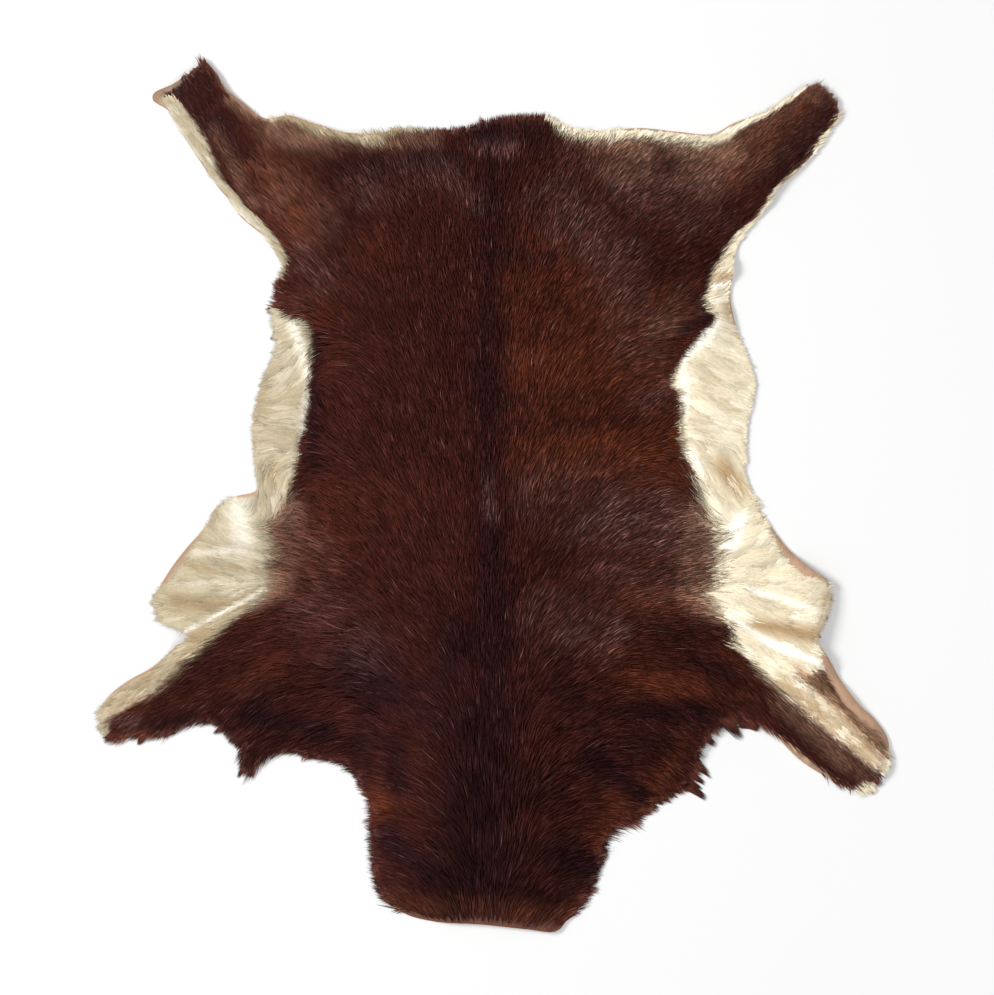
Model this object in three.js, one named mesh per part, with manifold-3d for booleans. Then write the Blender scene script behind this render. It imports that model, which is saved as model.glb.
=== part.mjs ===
// A tanned goatskin with the hair on, laid out flat with the hair side up.
// Millimetres, +Z up. The neck points to -Y and the tail to +Y, and the floor is Z = 0.
// The skin is one piece, so it is one closed solid: a lumpy slab with the outline of the cut
// hide, a coat whose depth changes over the body, soft folds where the skin stands off the
// floor, and pointed locks of hair along the rim.

import * as THREE from "three";
import { mergeVertices } from "three/addons/utils/BufferGeometryUtils.js";
import Module from "manifold-3d";

// Driving dimensions
const HIDE_WIDTH = 812; // over both forelegs
const HIDE_LENGTH = 888; // from the neck cut to the hind leg tips
const SKIN_THICKNESS = 2;
const BACK_PILE = 9; // depth of the coat on the back
const RIM_SHARE = 0.22; // how much of that depth is left at the rim
const RIM_SLOPE = 34; // over how wide a strip the coat rounds off to the rim
const LUMP_HEIGHT = 1.3;
const LUMP_PITCH = 74;
const LUMP_WAVES = [ // the ways that the two crossing waves of the lumps run
  { x: 1, y: 0.4 },
  { x: -0.3, y: 0.8 },
];
const CELL = 20; // pitch of the surface's points
const MARGIN_CELLS = 2; // by how many cells the slab is larger than the hide before it is cut
const CUT_HEIGHT = 200; // of the prism that cuts it, which is taller than every fold
const RIM_STEP = 10.5; // pitch of the points along the rim
const GUIDE_REACH = 20; // how far the pull of a row of the comb stays even
const LOCK_PITCH = 11; // along the rim, from one lock to the next at least
const LOCK_ROOT = 15; // how far a lock's root reaches in under the coat
const LOCK_WIDTH = 13;
const LOCK_HEIGHT = 4.6;
const LOCK_GAPS = 0.7; // how much further apart than their pitch locks may be, as a share of it
const LOCK_LENGTHS = [0.6, 1.5]; // shortest and longest lock, as shares of the rim's lock
const LOCK_WIDTHS = [0.65, 1.35]; // narrowest and widest lock, as shares of the width
const LOCK_WAIST = { along: 0.35, width: 0.72, height: 0.8, foot: 0.8 }; // as shares of the root's
const LOCK_TIP_FOOT = 0.6; // height of the tip over the floor, as a share of the root's
const LOCK_SECTION = [ // corners, as shares of the section's width and height
  { across: -0.5, up: 0 },
  { across: 0.5, up: 0 },
  { across: 0, up: 1 },
];
const LOCK_SEED = 7;
const SHORTEST_LOCK = 5; // a rim with less hair than this past the skin is left as cut
const OUTWARD_LEAN = 0.4; // how much a lock turns from the lie of the hair to face out
const WELD = 1e-3; // points closer than this are one
const COAT_COLOUR = 0x3f1e15;
const COAT_ROUGHNESS = 0.75;

// The rim, clockwise from the tail. lock is how far the hair reaches past the skin there.
const RIM_COLUMNS = ["x", "y", "lock"];
const RIM_STRETCHES = {
  tail: [
    [-24, 370, 5],
    [0, 377, 6],
    [32, 380, 6],
    [56, 379, 5],
    [72, 371, 4],
  ],
  rightRump: [
    [106, 367, 4],
    [146, 370, 3],
    [186, 366, 3],
    [220, 364, 3],
    [241, 375, 4],
  ],
  rightHindLeg: [
    [271, 386, 6],
    [301, 403, 6],
    [323, 413, 6],
    [337, 403, 4],
    [346, 382, 4],
    [332, 361, 4],
    [312, 334, 4],
    [286, 310, 4],
    [266, 281, 4],
    [244, 254, 4],
  ],
  rightFlank: [
    [239, 222, 3],
    [237, 198, 3],
    [243, 172, 3],
    [252, 138, 3],
    [260, 112, 3],
    [253, 75, 3],
    [251, 44, 3],
    [253, 8, 4],
  ],
  rightBellyFlap: [
    [276, -27, 3],
    [296, -53, 3],
    [320, -74, 3],
    [334, -84, 4],
    [333, -103, 7],
    [322, -141, 6],
  ],
  rightForeleg: [
    [334, -160, 5],
    [348, -184, 4],
    [366, -208, 5],
    [382, -223, 6],
    [395, -243, 7],
    [394, -265, 8],
    [383, -283, 8],
    [376, -293, 8],
    [354, -291, 4],
    [330, -279, 3],
    [306, -263, 3],
    [286, -243, 4],
    [270, -228, 8],
  ],
  rightShoulder: [
    [250, -221, 14],
    [232, -224, 16],
    [214, -236, 18],
    [203, -258, 20],
    [198, -280, 20],
    [184, -291, 20],
    [158, -301, 20],
    [132, -316, 18],
    [108, -331, 12],
  ],
  neck: [
    [106, -358, 8],
    [97, -382, 9],
    [88, -402, 9],
    [76, -420, 6],
    [63, -435, 0],
    [34, -433, 0],
    [-14, -428, 0],
    [-64, -425, 0],
    [-93, -416, 3],
    [-109, -398, 8],
    [-117, -372, 9],
    [-119, -338, 9],
    [-120, -308, 10],
  ],
  leftShoulder: [
    [-133, -285, 10],
    [-148, -267, 8],
    [-184, -259, 7],
    [-218, -254, 8],
    [-231, -263, 10],
    [-243, -274, 10],
    [-251, -270, 10],
    [-253, -254, 9],
    [-264, -241, 12],
  ],
  leftForeleg: [
    [-284, -224, 10],
    [-304, -226, 9],
    [-334, -237, 9],
    [-364, -239, 9],
    [-384, -240, 9],
    [-396, -220, 8],
    [-388, -202, 5],
    [-368, -185, 4],
    [-343, -171, 4],
    [-323, -154, 4],
    [-306, -139, 5],
  ],
  leftBellyFlap: [
    [-317, -131, 6],
    [-335, -123, 6],
    [-338, -99, 7],
    [-326, -75, 6],
    [-308, -51, 5],
    [-287, -27, 5],
    [-278, -11, 6],
    [-261, 1, 6],
    [-240, 6, 4],
  ],
  leftFlank: [
    [-239, 32, 3],
    [-241, 57, 3],
    [-238, 92, 3],
    [-229, 115, 3],
    [-220, 137, 4],
    [-215, 160, 8],
    [-219, 178, 10],
    [-218, 192, 8],
    [-217, 212, 5],
    [-211, 235, 4],
  ],
  leftHindLeg: [
    [-226, 257, 4],
    [-254, 281, 4],
    [-274, 310, 4],
    [-294, 346, 4],
    [-308, 373, 4],
    [-322, 389, 4],
    [-339, 399, 4],
    [-338, 406, 4],
    [-319, 415, 4],
    [-301, 427, 4],
    [-290, 436, 5],
    [-280, 427, 4],
    [-269, 410, 4],
    [-250, 394, 4],
    [-231, 380, 3],
  ],
  leftRump: [
    [-204, 382, 3],
    [-184, 375, 3],
    [-149, 365, 3],
    [-119, 364, 4],
    [-94, 369, 5],
    [-54, 366, 5],
  ],
};

// Where the coat is deeper or shallower than on the back. reach is the patch's radius.
const COAT_COLUMNS = ["x", "y", "reach", "depth"];
const COAT_PATCHES = [
  [0, -340, 130, 8],
  [150, -225, 110, 8],
  [-150, -210, 110, 7],
  [225, 100, 60, 4],
  [-222, 90, 60, 4],
  [290, -70, 60, 4],
  [-285, -70, 60, 5],
  [320, 385, 80, -4],
  [-300, 400, 80, -4],
  [-370, -220, 70, -3],
  [370, -260, 70, -3],
  [0, 330, 70, 2],
];

// Soft folds: crests along which the skin stands off the floor.
const FOLD_COLUMNS = ["x0", "y0", "x1", "y1", "halfWidth", "height"];
const FOLDS = [
  [-200, 178, -184, 122, 30, 9], // left flank, upper
  [-184, 122, -192, 36, 32, 8], // left flank, lower
  [218, 176, 193, 130, 30, 9], // right flank, upper
  [193, 130, 198, 34, 32, 8], // right flank, lower
  [-214, -84, -300, -130, 42, 14], // left belly flap over the foreleg
  [240, -112, 322, -158, 36, 12], // right foreleg's inner edge
  [318, -82, 318, -132, 38, 14], // right belly flap's end
  [-300, 418, -240, 330, 36, 9], // left hind leg
  [322, 394, 262, 312, 34, 8], // right hind leg
  [238, 230, 200, 222, 18, 6], // right flank crease
  [-206, 376, -122, 360, 22, 6], // left rump edge
  [-40, -418, 50, -428, 26, 5], // neck cut
  [120, 270, 150, 60, 80, 4], // right side of the back
  [-120, 230, -110, -40, 80, 4], // left side of the back
  [90, -190, 210, -230, 70, 6], // right shoulder
  [-90, -180, -230, -200, 70, 6], // left shoulder
  [350, -205, 385, -270, 26, 6], // right foreleg
  [-330, -190, -380, -225, 26, 6], // left foreleg
];

// The way the hair lies: its tips point along heading, counted from +X towards +Y.
const COMB_COLUMNS = ["x", "y", "heading"];
const COMB = [
  [0, 380, 90],
  [0, 100, 90],
  [0, -428, 90],
  [290, 370, 38],
  [-290, 390, 130],
  [200, 340, 60],
  [-200, 350, 120],
  [250, 120, 0],
  [-240, 80, 185],
  [-224, 185, 175],
  [320, -70, 10],
  [-330, -90, 185],
  [360, -230, -40],
  [-370, -220, 212],
  [250, -225, -55],
  [190, -285, -28],
  [130, -320, -22],
  [105, -380, -5],
  [-118, -360, 190],
  [-135, -280, 215],
  [-245, -270, 235],
  [-320, -235, 228],
];

const rowsOf = (columns, table) =>
  table.map((row) => Object.fromEntries(columns.map((name, i) => [name, row[i]])));
const rimPoints = rowsOf(RIM_COLUMNS, Object.values(RIM_STRETCHES).flat());
const coatPatches = rowsOf(COAT_COLUMNS, COAT_PATCHES);
const folds = rowsOf(FOLD_COLUMNS, FOLDS);
const combing = rowsOf(COMB_COLUMNS, COMB);

const wasm = await Module();
wasm.setup();

// Small helpers

// A repeatable stream of numbers from 0 to 1, by the mulberry32 method.
function seeded(seed) {
  let state = seed >>> 0;
  return () => {
    state = (state + 0x6d2b79f5) >>> 0;
    let t = Math.imul(state ^ (state >>> 15), 1 | state);
    t = (t + Math.imul(t ^ (t >>> 7), 61 | t)) ^ t;
    return ((t ^ (t >>> 14)) >>> 0) / 2 ** 32;
  };
}

// A bump that is 1 at 0, and 0 with a level tangent at 1 and beyond.
function bump(share) {
  return share < 1 ? (1 - share * share) ** 2 : 0;
}

function distanceToSegment(x, y, fold) {
  const along = new THREE.Vector2(fold.x1 - fold.x0, fold.y1 - fold.y0);
  const from = new THREE.Vector2(x - fold.x0, y - fold.y0);
  const share = THREE.MathUtils.clamp(from.dot(along) / along.lengthSq(), 0, 1);
  return from.addScaledVector(along, -share).length();
}

function solidFrom(geometry) {
  const bare = geometry.clone();
  bare.deleteAttribute("normal");
  bare.deleteAttribute("uv");
  const merged = mergeVertices(bare, WELD);
  return new wasm.Manifold(
    new wasm.Mesh({
      numProp: 3,
      vertProperties: new Float32Array(merged.getAttribute("position").array),
      triVerts: new Uint32Array(merged.index.array),
    }),
  );
}

function geometryFrom(solid) {
  const mesh = solid.getMesh();
  const geometry = new THREE.BufferGeometry();
  geometry.setAttribute("position", new THREE.BufferAttribute(mesh.vertProperties, mesh.numProp));
  geometry.setIndex(new THREE.BufferAttribute(mesh.triVerts, 1));
  geometry.computeVertexNormals();
  return geometry;
}

// The rim as a smooth closed line of evenly spaced points, each with its lock length
function rimLine() {
  const corners = rimPoints.map((p) => new THREE.Vector3(p.x, p.y, p.lock));
  const curve = new THREE.CatmullRomCurve3(corners, true, "centripetal");
  const flatLength = corners.reduce(
    (sum, p, i) => sum + Math.hypot(p.x - corners.at(i - 1).x, p.y - corners.at(i - 1).y),
    0,
  );
  const steps = Math.round(flatLength / RIM_STEP);
  const perCorner = Math.max(1, Math.round(steps / corners.length));
  return Array.from({ length: corners.length * perCorner }, (_, i) =>
    curve.getPoint(i / (corners.length * perCorner)),
  );
}

const rim = rimLine();

function distanceToRim(x, y) {
  return rim.reduce((least, p, i) => {
    const before = rim.at(i - 1);
    const edge = { x0: before.x, y0: before.y, x1: p.x, y1: p.y };
    return Math.min(least, distanceToSegment(x, y, edge));
  }, Infinity);
}

// Heights of the skin's underside and of the coat's top

function underside(x, y) {
  return folds.reduce(
    (height, fold) =>
      Math.max(height, fold.height * bump(distanceToSegment(x, y, fold) / fold.halfWidth)),
    0,
  );
}

function coatDepth(x, y) {
  const depth = coatPatches.reduce(
    (sum, patch) => sum + patch.depth * bump(Math.hypot(x - patch.x, y - patch.y) / patch.reach),
    BACK_PILE,
  );
  const turn = (2 * Math.PI) / LUMP_PITCH;
  const [first, second] = LUMP_WAVES.map((wave) => Math.sin(turn * (wave.x * x + wave.y * y)));
  const inward = THREE.MathUtils.smoothstep(distanceToRim(x, y), 0, RIM_SLOPE);
  return (depth + LUMP_HEIGHT * first * second) * (RIM_SHARE + (1 - RIM_SHARE) * inward);
}

function topside(x, y) {
  return underside(x, y) + SKIN_THICKNESS + coatDepth(x, y);
}

// The coat and skin as a closed slab over a rectangle a little larger than the hide
function slabGeometry() {
  const columns = Math.ceil(HIDE_WIDTH / CELL) + MARGIN_CELLS;
  const rows = Math.ceil(HIDE_LENGTH / CELL) + MARGIN_CELLS;
  const slab = new THREE.BoxGeometry(columns * CELL, rows * CELL, 1, columns, rows, 1);
  const position = slab.getAttribute("position");
  for (let i = 0; i < position.count; i++) {
    const x = position.getX(i);
    const y = position.getY(i);
    position.setZ(i, position.getZ(i) > 0 ? topside(x, y) : underside(x, y));
  }
  return slab;
}

function rimPrism() {
  const outline = new THREE.Shape(rim.map((p) => new THREE.Vector2(p.x, p.y)));
  const prism = new THREE.ExtrudeGeometry(outline, { depth: CUT_HEIGHT, bevelEnabled: false });
  return prism.translate(0, 0, -CUT_HEIGHT / 2);
}

// Locks of hair along the rim

function headingAt(x, y) {
  const pull = new THREE.Vector2();
  for (const guide of combing) {
    const weight = 1 / (GUIDE_REACH ** 2 + (x - guide.x) ** 2 + (y - guide.y) ** 2) ** 2;
    const angle = THREE.MathUtils.degToRad(guide.heading);
    pull.x += weight * Math.cos(angle);
    pull.y += weight * Math.sin(angle);
  }
  return pull.normalize();
}

// A lock with a flat underside and one crest: a root, a waist and a tip.
function lockGeometry(root, heading, length, wide) {
  const side = new THREE.Vector2(-heading.y, heading.x);
  const foot = underside(root.x, root.y);
  const waist = {
    along: length * LOCK_WAIST.along,
    width: wide * LOCK_WAIST.width,
    height: LOCK_HEIGHT * LOCK_WAIST.height,
    foot: foot * LOCK_WAIST.foot,
  };
  const sections = [{ along: -LOCK_ROOT, width: wide, height: LOCK_HEIGHT, foot }, waist];
  const points = [];
  for (const section of sections) {
    for (const { across, up } of LOCK_SECTION) {
      points.push(
        root.x + heading.x * section.along + side.x * across * section.width,
        root.y + heading.y * section.along + side.y * across * section.width,
        section.foot + up * section.height,
      );
    }
  }
  points.push(root.x + heading.x * length, root.y + heading.y * length, foot * LOCK_TIP_FOOT);
  const corners = LOCK_SECTION.length;
  const tip = corners * sections.length;
  const faces = [[0, 2, 1]];
  for (let here = 0; here < corners; here++) {
    const next = (here + 1) % corners;
    const [hereWaist, nextWaist] = [here + corners, next + corners];
    faces.push([here, next, nextWaist], [here, nextWaist, hereWaist], [hereWaist, nextWaist, tip]);
  }
  const geometry = new THREE.BufferGeometry();
  geometry.setAttribute("position", new THREE.Float32BufferAttribute(points, 3));
  geometry.setIndex(faces.flat());
  return geometry;
}

function rimLocks() {
  const random = seeded(LOCK_SEED);
  const between = ([least, most]) => least + (most - least) * random();
  const locks = [];
  let walked = 0;
  rim.forEach((point, i) => {
    const before = rim.at(i - 1);
    const after = rim[(i + 1) % rim.length];
    walked += Math.hypot(point.x - before.x, point.y - before.y);
    if (walked < LOCK_PITCH || point.z < SHORTEST_LOCK) return;
    walked = -LOCK_GAPS * LOCK_PITCH * random();
    const outward = new THREE.Vector2(before.y - after.y, after.x - before.x).normalize();
    const heading = headingAt(point.x, point.y);
    if (heading.dot(outward) < 0) return;
    heading.addScaledVector(outward, OUTWARD_LEAN).normalize();
    const length = point.z * between(LOCK_LENGTHS);
    const wide = LOCK_WIDTH * between(LOCK_WIDTHS);
    locks.push(solidFrom(lockGeometry(point, heading, length, wide)));
  });
  return locks;
}

function goatskin() {
  const slab = solidFrom(slabGeometry()).intersect(solidFrom(rimPrism()));
  const solid = rimLocks().reduce((whole, lock) => whole.add(lock), slab);
  const hairOn = new THREE.MeshStandardMaterial({
    color: COAT_COLOUR,
    roughness: COAT_ROUGHNESS,
    metalness: 0,
  });
  const mesh = new THREE.Mesh(geometryFrom(solid), hairOn);
  mesh.name = "goatskin";
  return mesh;
}

const hide = new THREE.Group();
hide.add(goatskin());

export default hide;
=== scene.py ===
"""A tanned goatskin laid out flat with the hair side up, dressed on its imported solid.

The tables are in millimetres in the hide's own frame: +Y runs from the neck to the tail, +X is to
the right seen from above, and the floor is Z = 0. Everything that is built from them is in metres.
"""

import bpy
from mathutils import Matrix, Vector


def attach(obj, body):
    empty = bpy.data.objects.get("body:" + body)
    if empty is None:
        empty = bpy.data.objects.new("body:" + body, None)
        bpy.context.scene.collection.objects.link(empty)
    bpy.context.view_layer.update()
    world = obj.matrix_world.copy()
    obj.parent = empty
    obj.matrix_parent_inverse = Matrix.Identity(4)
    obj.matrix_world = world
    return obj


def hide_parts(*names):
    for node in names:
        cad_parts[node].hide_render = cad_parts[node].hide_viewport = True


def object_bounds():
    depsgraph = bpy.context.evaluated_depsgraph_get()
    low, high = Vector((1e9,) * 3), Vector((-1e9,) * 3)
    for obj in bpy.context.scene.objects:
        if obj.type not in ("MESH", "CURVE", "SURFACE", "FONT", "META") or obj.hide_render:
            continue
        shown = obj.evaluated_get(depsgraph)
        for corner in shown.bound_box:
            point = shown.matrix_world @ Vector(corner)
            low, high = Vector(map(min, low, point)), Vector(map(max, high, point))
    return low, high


bl_info = {
    "name": "Hair-on goatskin",
    "version": (1, 0, 0),
    "blender": (4, 5, 0),
    "location": "View3D > Sidebar > Goatskin",
    "description": "Lays a tanned goatskin out flat and grows its combed, marked coat",
    "category": "Add Mesh",
}

from typing import NamedTuple

import bpy
import numpy as np
from bpy.props import FloatProperty, FloatVectorProperty, PointerProperty
from mathutils import Vector
from mathutils.geometry import delaunay_2d_cdt

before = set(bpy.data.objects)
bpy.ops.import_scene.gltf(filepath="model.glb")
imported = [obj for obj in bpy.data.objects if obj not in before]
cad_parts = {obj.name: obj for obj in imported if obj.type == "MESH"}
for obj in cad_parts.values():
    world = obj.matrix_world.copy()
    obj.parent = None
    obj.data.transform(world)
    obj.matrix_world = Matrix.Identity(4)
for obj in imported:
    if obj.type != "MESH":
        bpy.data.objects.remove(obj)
CAD_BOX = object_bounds()

MM = 0.001
BODY = "root"
HIDE_NODE = "goatskin"
FUR_PIECES = (
    "undercoat_left",
    "undercoat_right",
    "topcoat_left",
    "topcoat_right",
    "flank_hair",
    "rim_hair",
    "rim_locks",
)

# The rim, clockwise from the tail: x, y, how far the hair reaches past the skin (lock), and how wide
# a strip inside the rim has cream hair (cream) or shows bare skin (bare).
RIM = (
    # tail
    (-24, 370, 5, 0, 0), (0, 377, 6, 0, 0), (32, 380, 6, 0, 0), (56, 379, 5, 2, 0), (72, 371, 4, 10, 2),
    # right rump
    (106, 367, 4, 12, 3), (146, 370, 3, 12, 3), (186, 366, 3, 13, 3), (220, 364, 3, 14, 3),
    (241, 375, 3, 9, 3),
    # right hind leg
    (271, 386, 4, 5, 2), (301, 403, 3, 3, 1), (323, 413, 2, 0, 0), (337, 403, 3, 0, 2),
    (346, 382, 3, 2, 1), (332, 361, 3, 4, 2), (312, 334, 3, 2, 1), (286, 310, 3, 4, 1),
    (266, 281, 3, 3, 1), (244, 254, 3, 8, 1),
    # right flank
    (239, 222, 3, 22, 2), (237, 200, 3, 28, 3), (240, 182, 3, 20, 3), (243, 170, 3, 40, 2),
    (252, 138, 3, 82, 0), (260, 112, 3, 81, 0), (253, 75, 3, 70, 0), (251, 44, 3, 63, 0),
    (253, 8, 4, 51, 2),
    # right belly flap
    (276, -27, 3, 74, 3), (296, -53, 3, 96, 10), (320, -74, 3, 108, 12), (334, -84, 4, 112, 4),
    (333, -103, 7, 110, 0), (322, -141, 6, 96, 0),
    # right foreleg
    (334, -160, 3, 0, 10), (348, -184, 2, 0, 12), (366, -208, 3, 0, 11), (382, -223, 4, 0, 9),
    (395, -243, 4, 0, 6), (394, -265, 6, 4, 0), (383, -283, 7, 0, 0), (376, -293, 8, 4, 0),
    (354, -291, 4, 0, 1), (330, -279, 3, 0, 4), (306, -263, 2, 0, 6), (286, -243, 3, 0, 5),
    (270, -228, 8, 0, 0),
    # right shoulder
    (250, -221, 8, 0, 0), (232, -224, 8, 0, 0), (214, -236, 7, 0, 0), (203, -258, 7, 0, 0),
    (198, -280, 8, 0, 0), (184, -291, 9, 0, 0), (161, -303, 9, 0, 0), (139, -323, 9, 0, 0),
    (112, -333, 9, 0, 0),
    # neck
    (106, -358, 8, 0, 0), (97, -382, 9, 0, 0), (88, -402, 9, 0, 0), (76, -420, 6, 0, 1),
    (63, -435, 0, 0, 1), (34, -433, 0, 0, 1), (-14, -428, 0, 0, 1), (-64, -425, 0, 0, 1),
    (-93, -416, 3, 0, 2), (-109, -398, 8, 0, 0), (-117, -372, 9, 0, 0), (-119, -338, 9, 0, 0),
    (-120, -308, 10, 0, 0),
    # left shoulder
    (-133, -285, 6, 0, 0), (-148, -267, 4, 0, 0), (-184, -259, 4, 0, 0), (-218, -254, 4, 0, 0),
    (-231, -263, 6, 0, 0), (-243, -274, 7, 0, 0), (-251, -270, 7, 0, 0), (-253, -254, 5, 0, 0),
    (-264, -241, 5, 0, 0),
    # left foreleg
    (-284, -224, 5, 0, 0), (-304, -226, 6, 0, 0), (-334, -237, 7, 0, 0), (-364, -239, 7, 0, 0),
    (-384, -240, 8, 0, 0), (-396, -220, 5, 12, 1), (-388, -202, 3, 23, 2), (-368, -185, 3, 25, 2),
    (-343, -171, 3, 21, 2), (-323, -154, 3, 20, 2), (-306, -139, 3, 24, 2),
    # left belly flap
    (-317, -131, 4, 92, 2), (-335, -123, 4, 112, 1), (-338, -99, 6, 118, 1), (-326, -75, 4, 108, 8),
    (-308, -51, 3, 94, 6), (-287, -27, 3, 72, 2), (-280, -12, 2, 64, 2), (-261, 0, 3, 46, 2),
    (-238, 7, 2, 36, 1),
    # left flank
    (-238, 32, 2, 46, 0), (-241, 57, 3, 52, 0), (-238, 92, 3, 55, 0), (-229, 115, 3, 52, 0),
    (-220, 137, 4, 43, 0), (-215, 160, 5, 33, 0), (-219, 178, 6, 15, 0), (-218, 192, 7, 0, 0),
    (-217, 212, 5, 0, 0), (-211, 235, 4, 5, 0),
    # left hind leg
    (-226, 257, 3, 8, 1), (-254, 281, 3, 10, 1), (-264, 296, 3, 9, 1), (-277, 311, 3, 8, 1),
    (-301, 346, 3, 17, 1), (-317, 371, 3, 16, 1), (-326, 387, 3, 13, 1), (-342, 398, 3, 4, 8),
    (-341, 405, 3, 0, 9), (-319, 415, 3, 0, 5), (-301, 427, 2, 0, 2), (-290, 436, 2, 0, 0),
    (-280, 427, 3, 0, 1), (-269, 410, 4, 2, 3), (-250, 394, 4, 4, 5), (-231, 380, 3, 2, 4),
    # left rump
    (-204, 382, 3, 8, 3), (-184, 375, 3, 10, 2), (-149, 365, 3, 10, 2), (-119, 364, 4, 13, 2),
    (-94, 369, 5, 5, 1), (-54, 366, 5, 0, 0),
)

# Crests along which the skin stands off the floor: x0, y0, x1, y1, half width, height.
FOLDS = (
    (-200, 178, -184, 122, 30, 9),  # left flank, upper
    (-184, 122, -192, 36, 32, 8),  # left flank, lower
    (218, 176, 193, 130, 30, 9),  # right flank, upper
    (193, 130, 198, 34, 32, 8),  # right flank, lower
    (-214, -84, -300, -130, 42, 14),  # left belly flap over the foreleg
    (240, -112, 322, -158, 36, 12),  # right foreleg's inner edge
    (318, -82, 318, -132, 38, 14),  # right belly flap's end
    (-300, 418, -240, 330, 36, 9),  # left hind leg
    (322, 394, 262, 312, 34, 8),  # right hind leg
    (238, 230, 200, 222, 18, 6),  # right flank crease
    (-206, 376, -122, 360, 22, 6),  # left rump edge
    (-40, -418, 50, -428, 26, 5),  # neck cut
    (120, 270, 150, 60, 80, 4),  # right side of the back
    (-120, 230, -110, -40, 80, 4),  # left side of the back
    (90, -190, 210, -230, 70, 6),  # right shoulder
    (-90, -180, -230, -200, 70, 6),  # left shoulder
    (350, -205, 385, -270, 26, 6),  # right foreleg
    (-330, -190, -380, -225, 26, 6),  # left foreleg
)

# Where the coat is deeper or shallower than on the back: x, y, radius, depth.
COAT_PATCHES = (
    (0, -340, 130, 8),
    (150, -225, 110, 8),
    (-150, -210, 110, 7),
    (225, 100, 60, 4),
    (-222, 90, 60, 4),
    (290, -70, 60, 4),
    (-285, -70, 60, 5),
    (320, 385, 80, -4),
    (-300, 400, 80, -4),
    (-370, -220, 70, -3),
    (370, -260, 70, -3),
    (0, 330, 70, 2),
)

# The lie of the hair: x, y, the way the tips point in degrees from +X towards +Y, and the hair's length.
COMB = (
    # spine
    (0, 380, 90, 14), (0, 250, 90, 17), (0, 100, 90, 17), (0, -40, 90, 18), (0, -150, 90, 22),
    (0, -250, 90, 28), (0, -330, 92, 34), (-14, -420, 92, 26),
    # left side of the back
    (-80, 320, 112, 16), (-80, 200, 104, 17), (-80, 60, 107, 17), (-80, -60, 118, 18),
    (-80, -140, 134, 22), (-80, -220, 150, 30), (-70, -320, 152, 36), (-95, -390, 168, 32),
    (-160, 320, 132, 15), (-160, 200, 122, 17), (-160, 80, 120, 17), (-160, -20, 148, 18),
    (-170, -90, 163, 22), (-170, -160, 178, 26), (-170, -220, 200, 30), (-110, -330, 185, 34),
    (-60, -405, 130, 26),
    # left flank and belly flap
    (-207, 172, 200, 28), (-190, 132, 245, 32), (-212, 128, 200, 34), (-208, 90, 190, 36),
    (-235, 90, 152, 30), (-216, 57, 160, 36), (-197, 45, 188, 32), (-222, 14, 288, 24), (-234, 30, 266, 24),
    (-215, 220, 140, 16),
    (-270, -20, 125, 28), (-290, -60, 165, 32), (-300, -100, 182, 32), (-225, -60, 165, 24),
    (-230, -110, 195, 22),
    # left foreleg and shoulder
    (-260, -150, 200, 22), (-320, -190, 208, 14), (-380, -220, 212, 12), (-250, -215, 222, 26),
    (-245, -262, 240, 20), (-200, -245, 215, 24), (-320, -225, 222, 16),
    # left hind leg
    (-240, 300, 132, 14), (-280, 360, 128, 11), (-300, 420, 125, 9), (-300, 380, 132, 12),
    # right side of the back
    (80, 320, 60, 16), (80, 200, 58, 17), (80, 60, 64, 17), (80, -60, 52, 18),
    (80, -140, 44, 22), (80, -220, 28, 30), (70, -320, 28, 36), (85, -390, 12, 32),
    (160, 320, 38, 15), (160, 200, 40, 17), (160, 80, 46, 17), (160, -20, 30, 18),
    (170, -90, 16, 22), (170, -160, -4, 26), (170, -220, -22, 30), (213, -195, -44, 30),
    (190, -275, -38, 32), (110, -330, -15, 34), (40, -408, 50, 26),
    # right flank and belly flap
    (222, 166, -20, 28), (229, 146, -28, 34), (225, 113, -24, 36), (203, 97, -32, 36),
    (225, 70, -6, 36), (205, 40, -56, 32), (229, 26, -66, 32), (221, 4, -60, 26), (220, 220, 40, 16),
    (260, -20, 40, 28), (290, -60, 25, 32), (300, -100, 2, 32), (225, -60, 20, 24),
    (240, -115, -24, 26),
    # right foreleg
    (270, -160, -36, 22), (320, -205, -40, 14), (370, -260, -42, 12), (260, -215, -48, 26),
    # right hind leg
    (240, 300, 42, 14), (290, 360, 40, 11), (322, 400, 40, 9),
)

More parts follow.
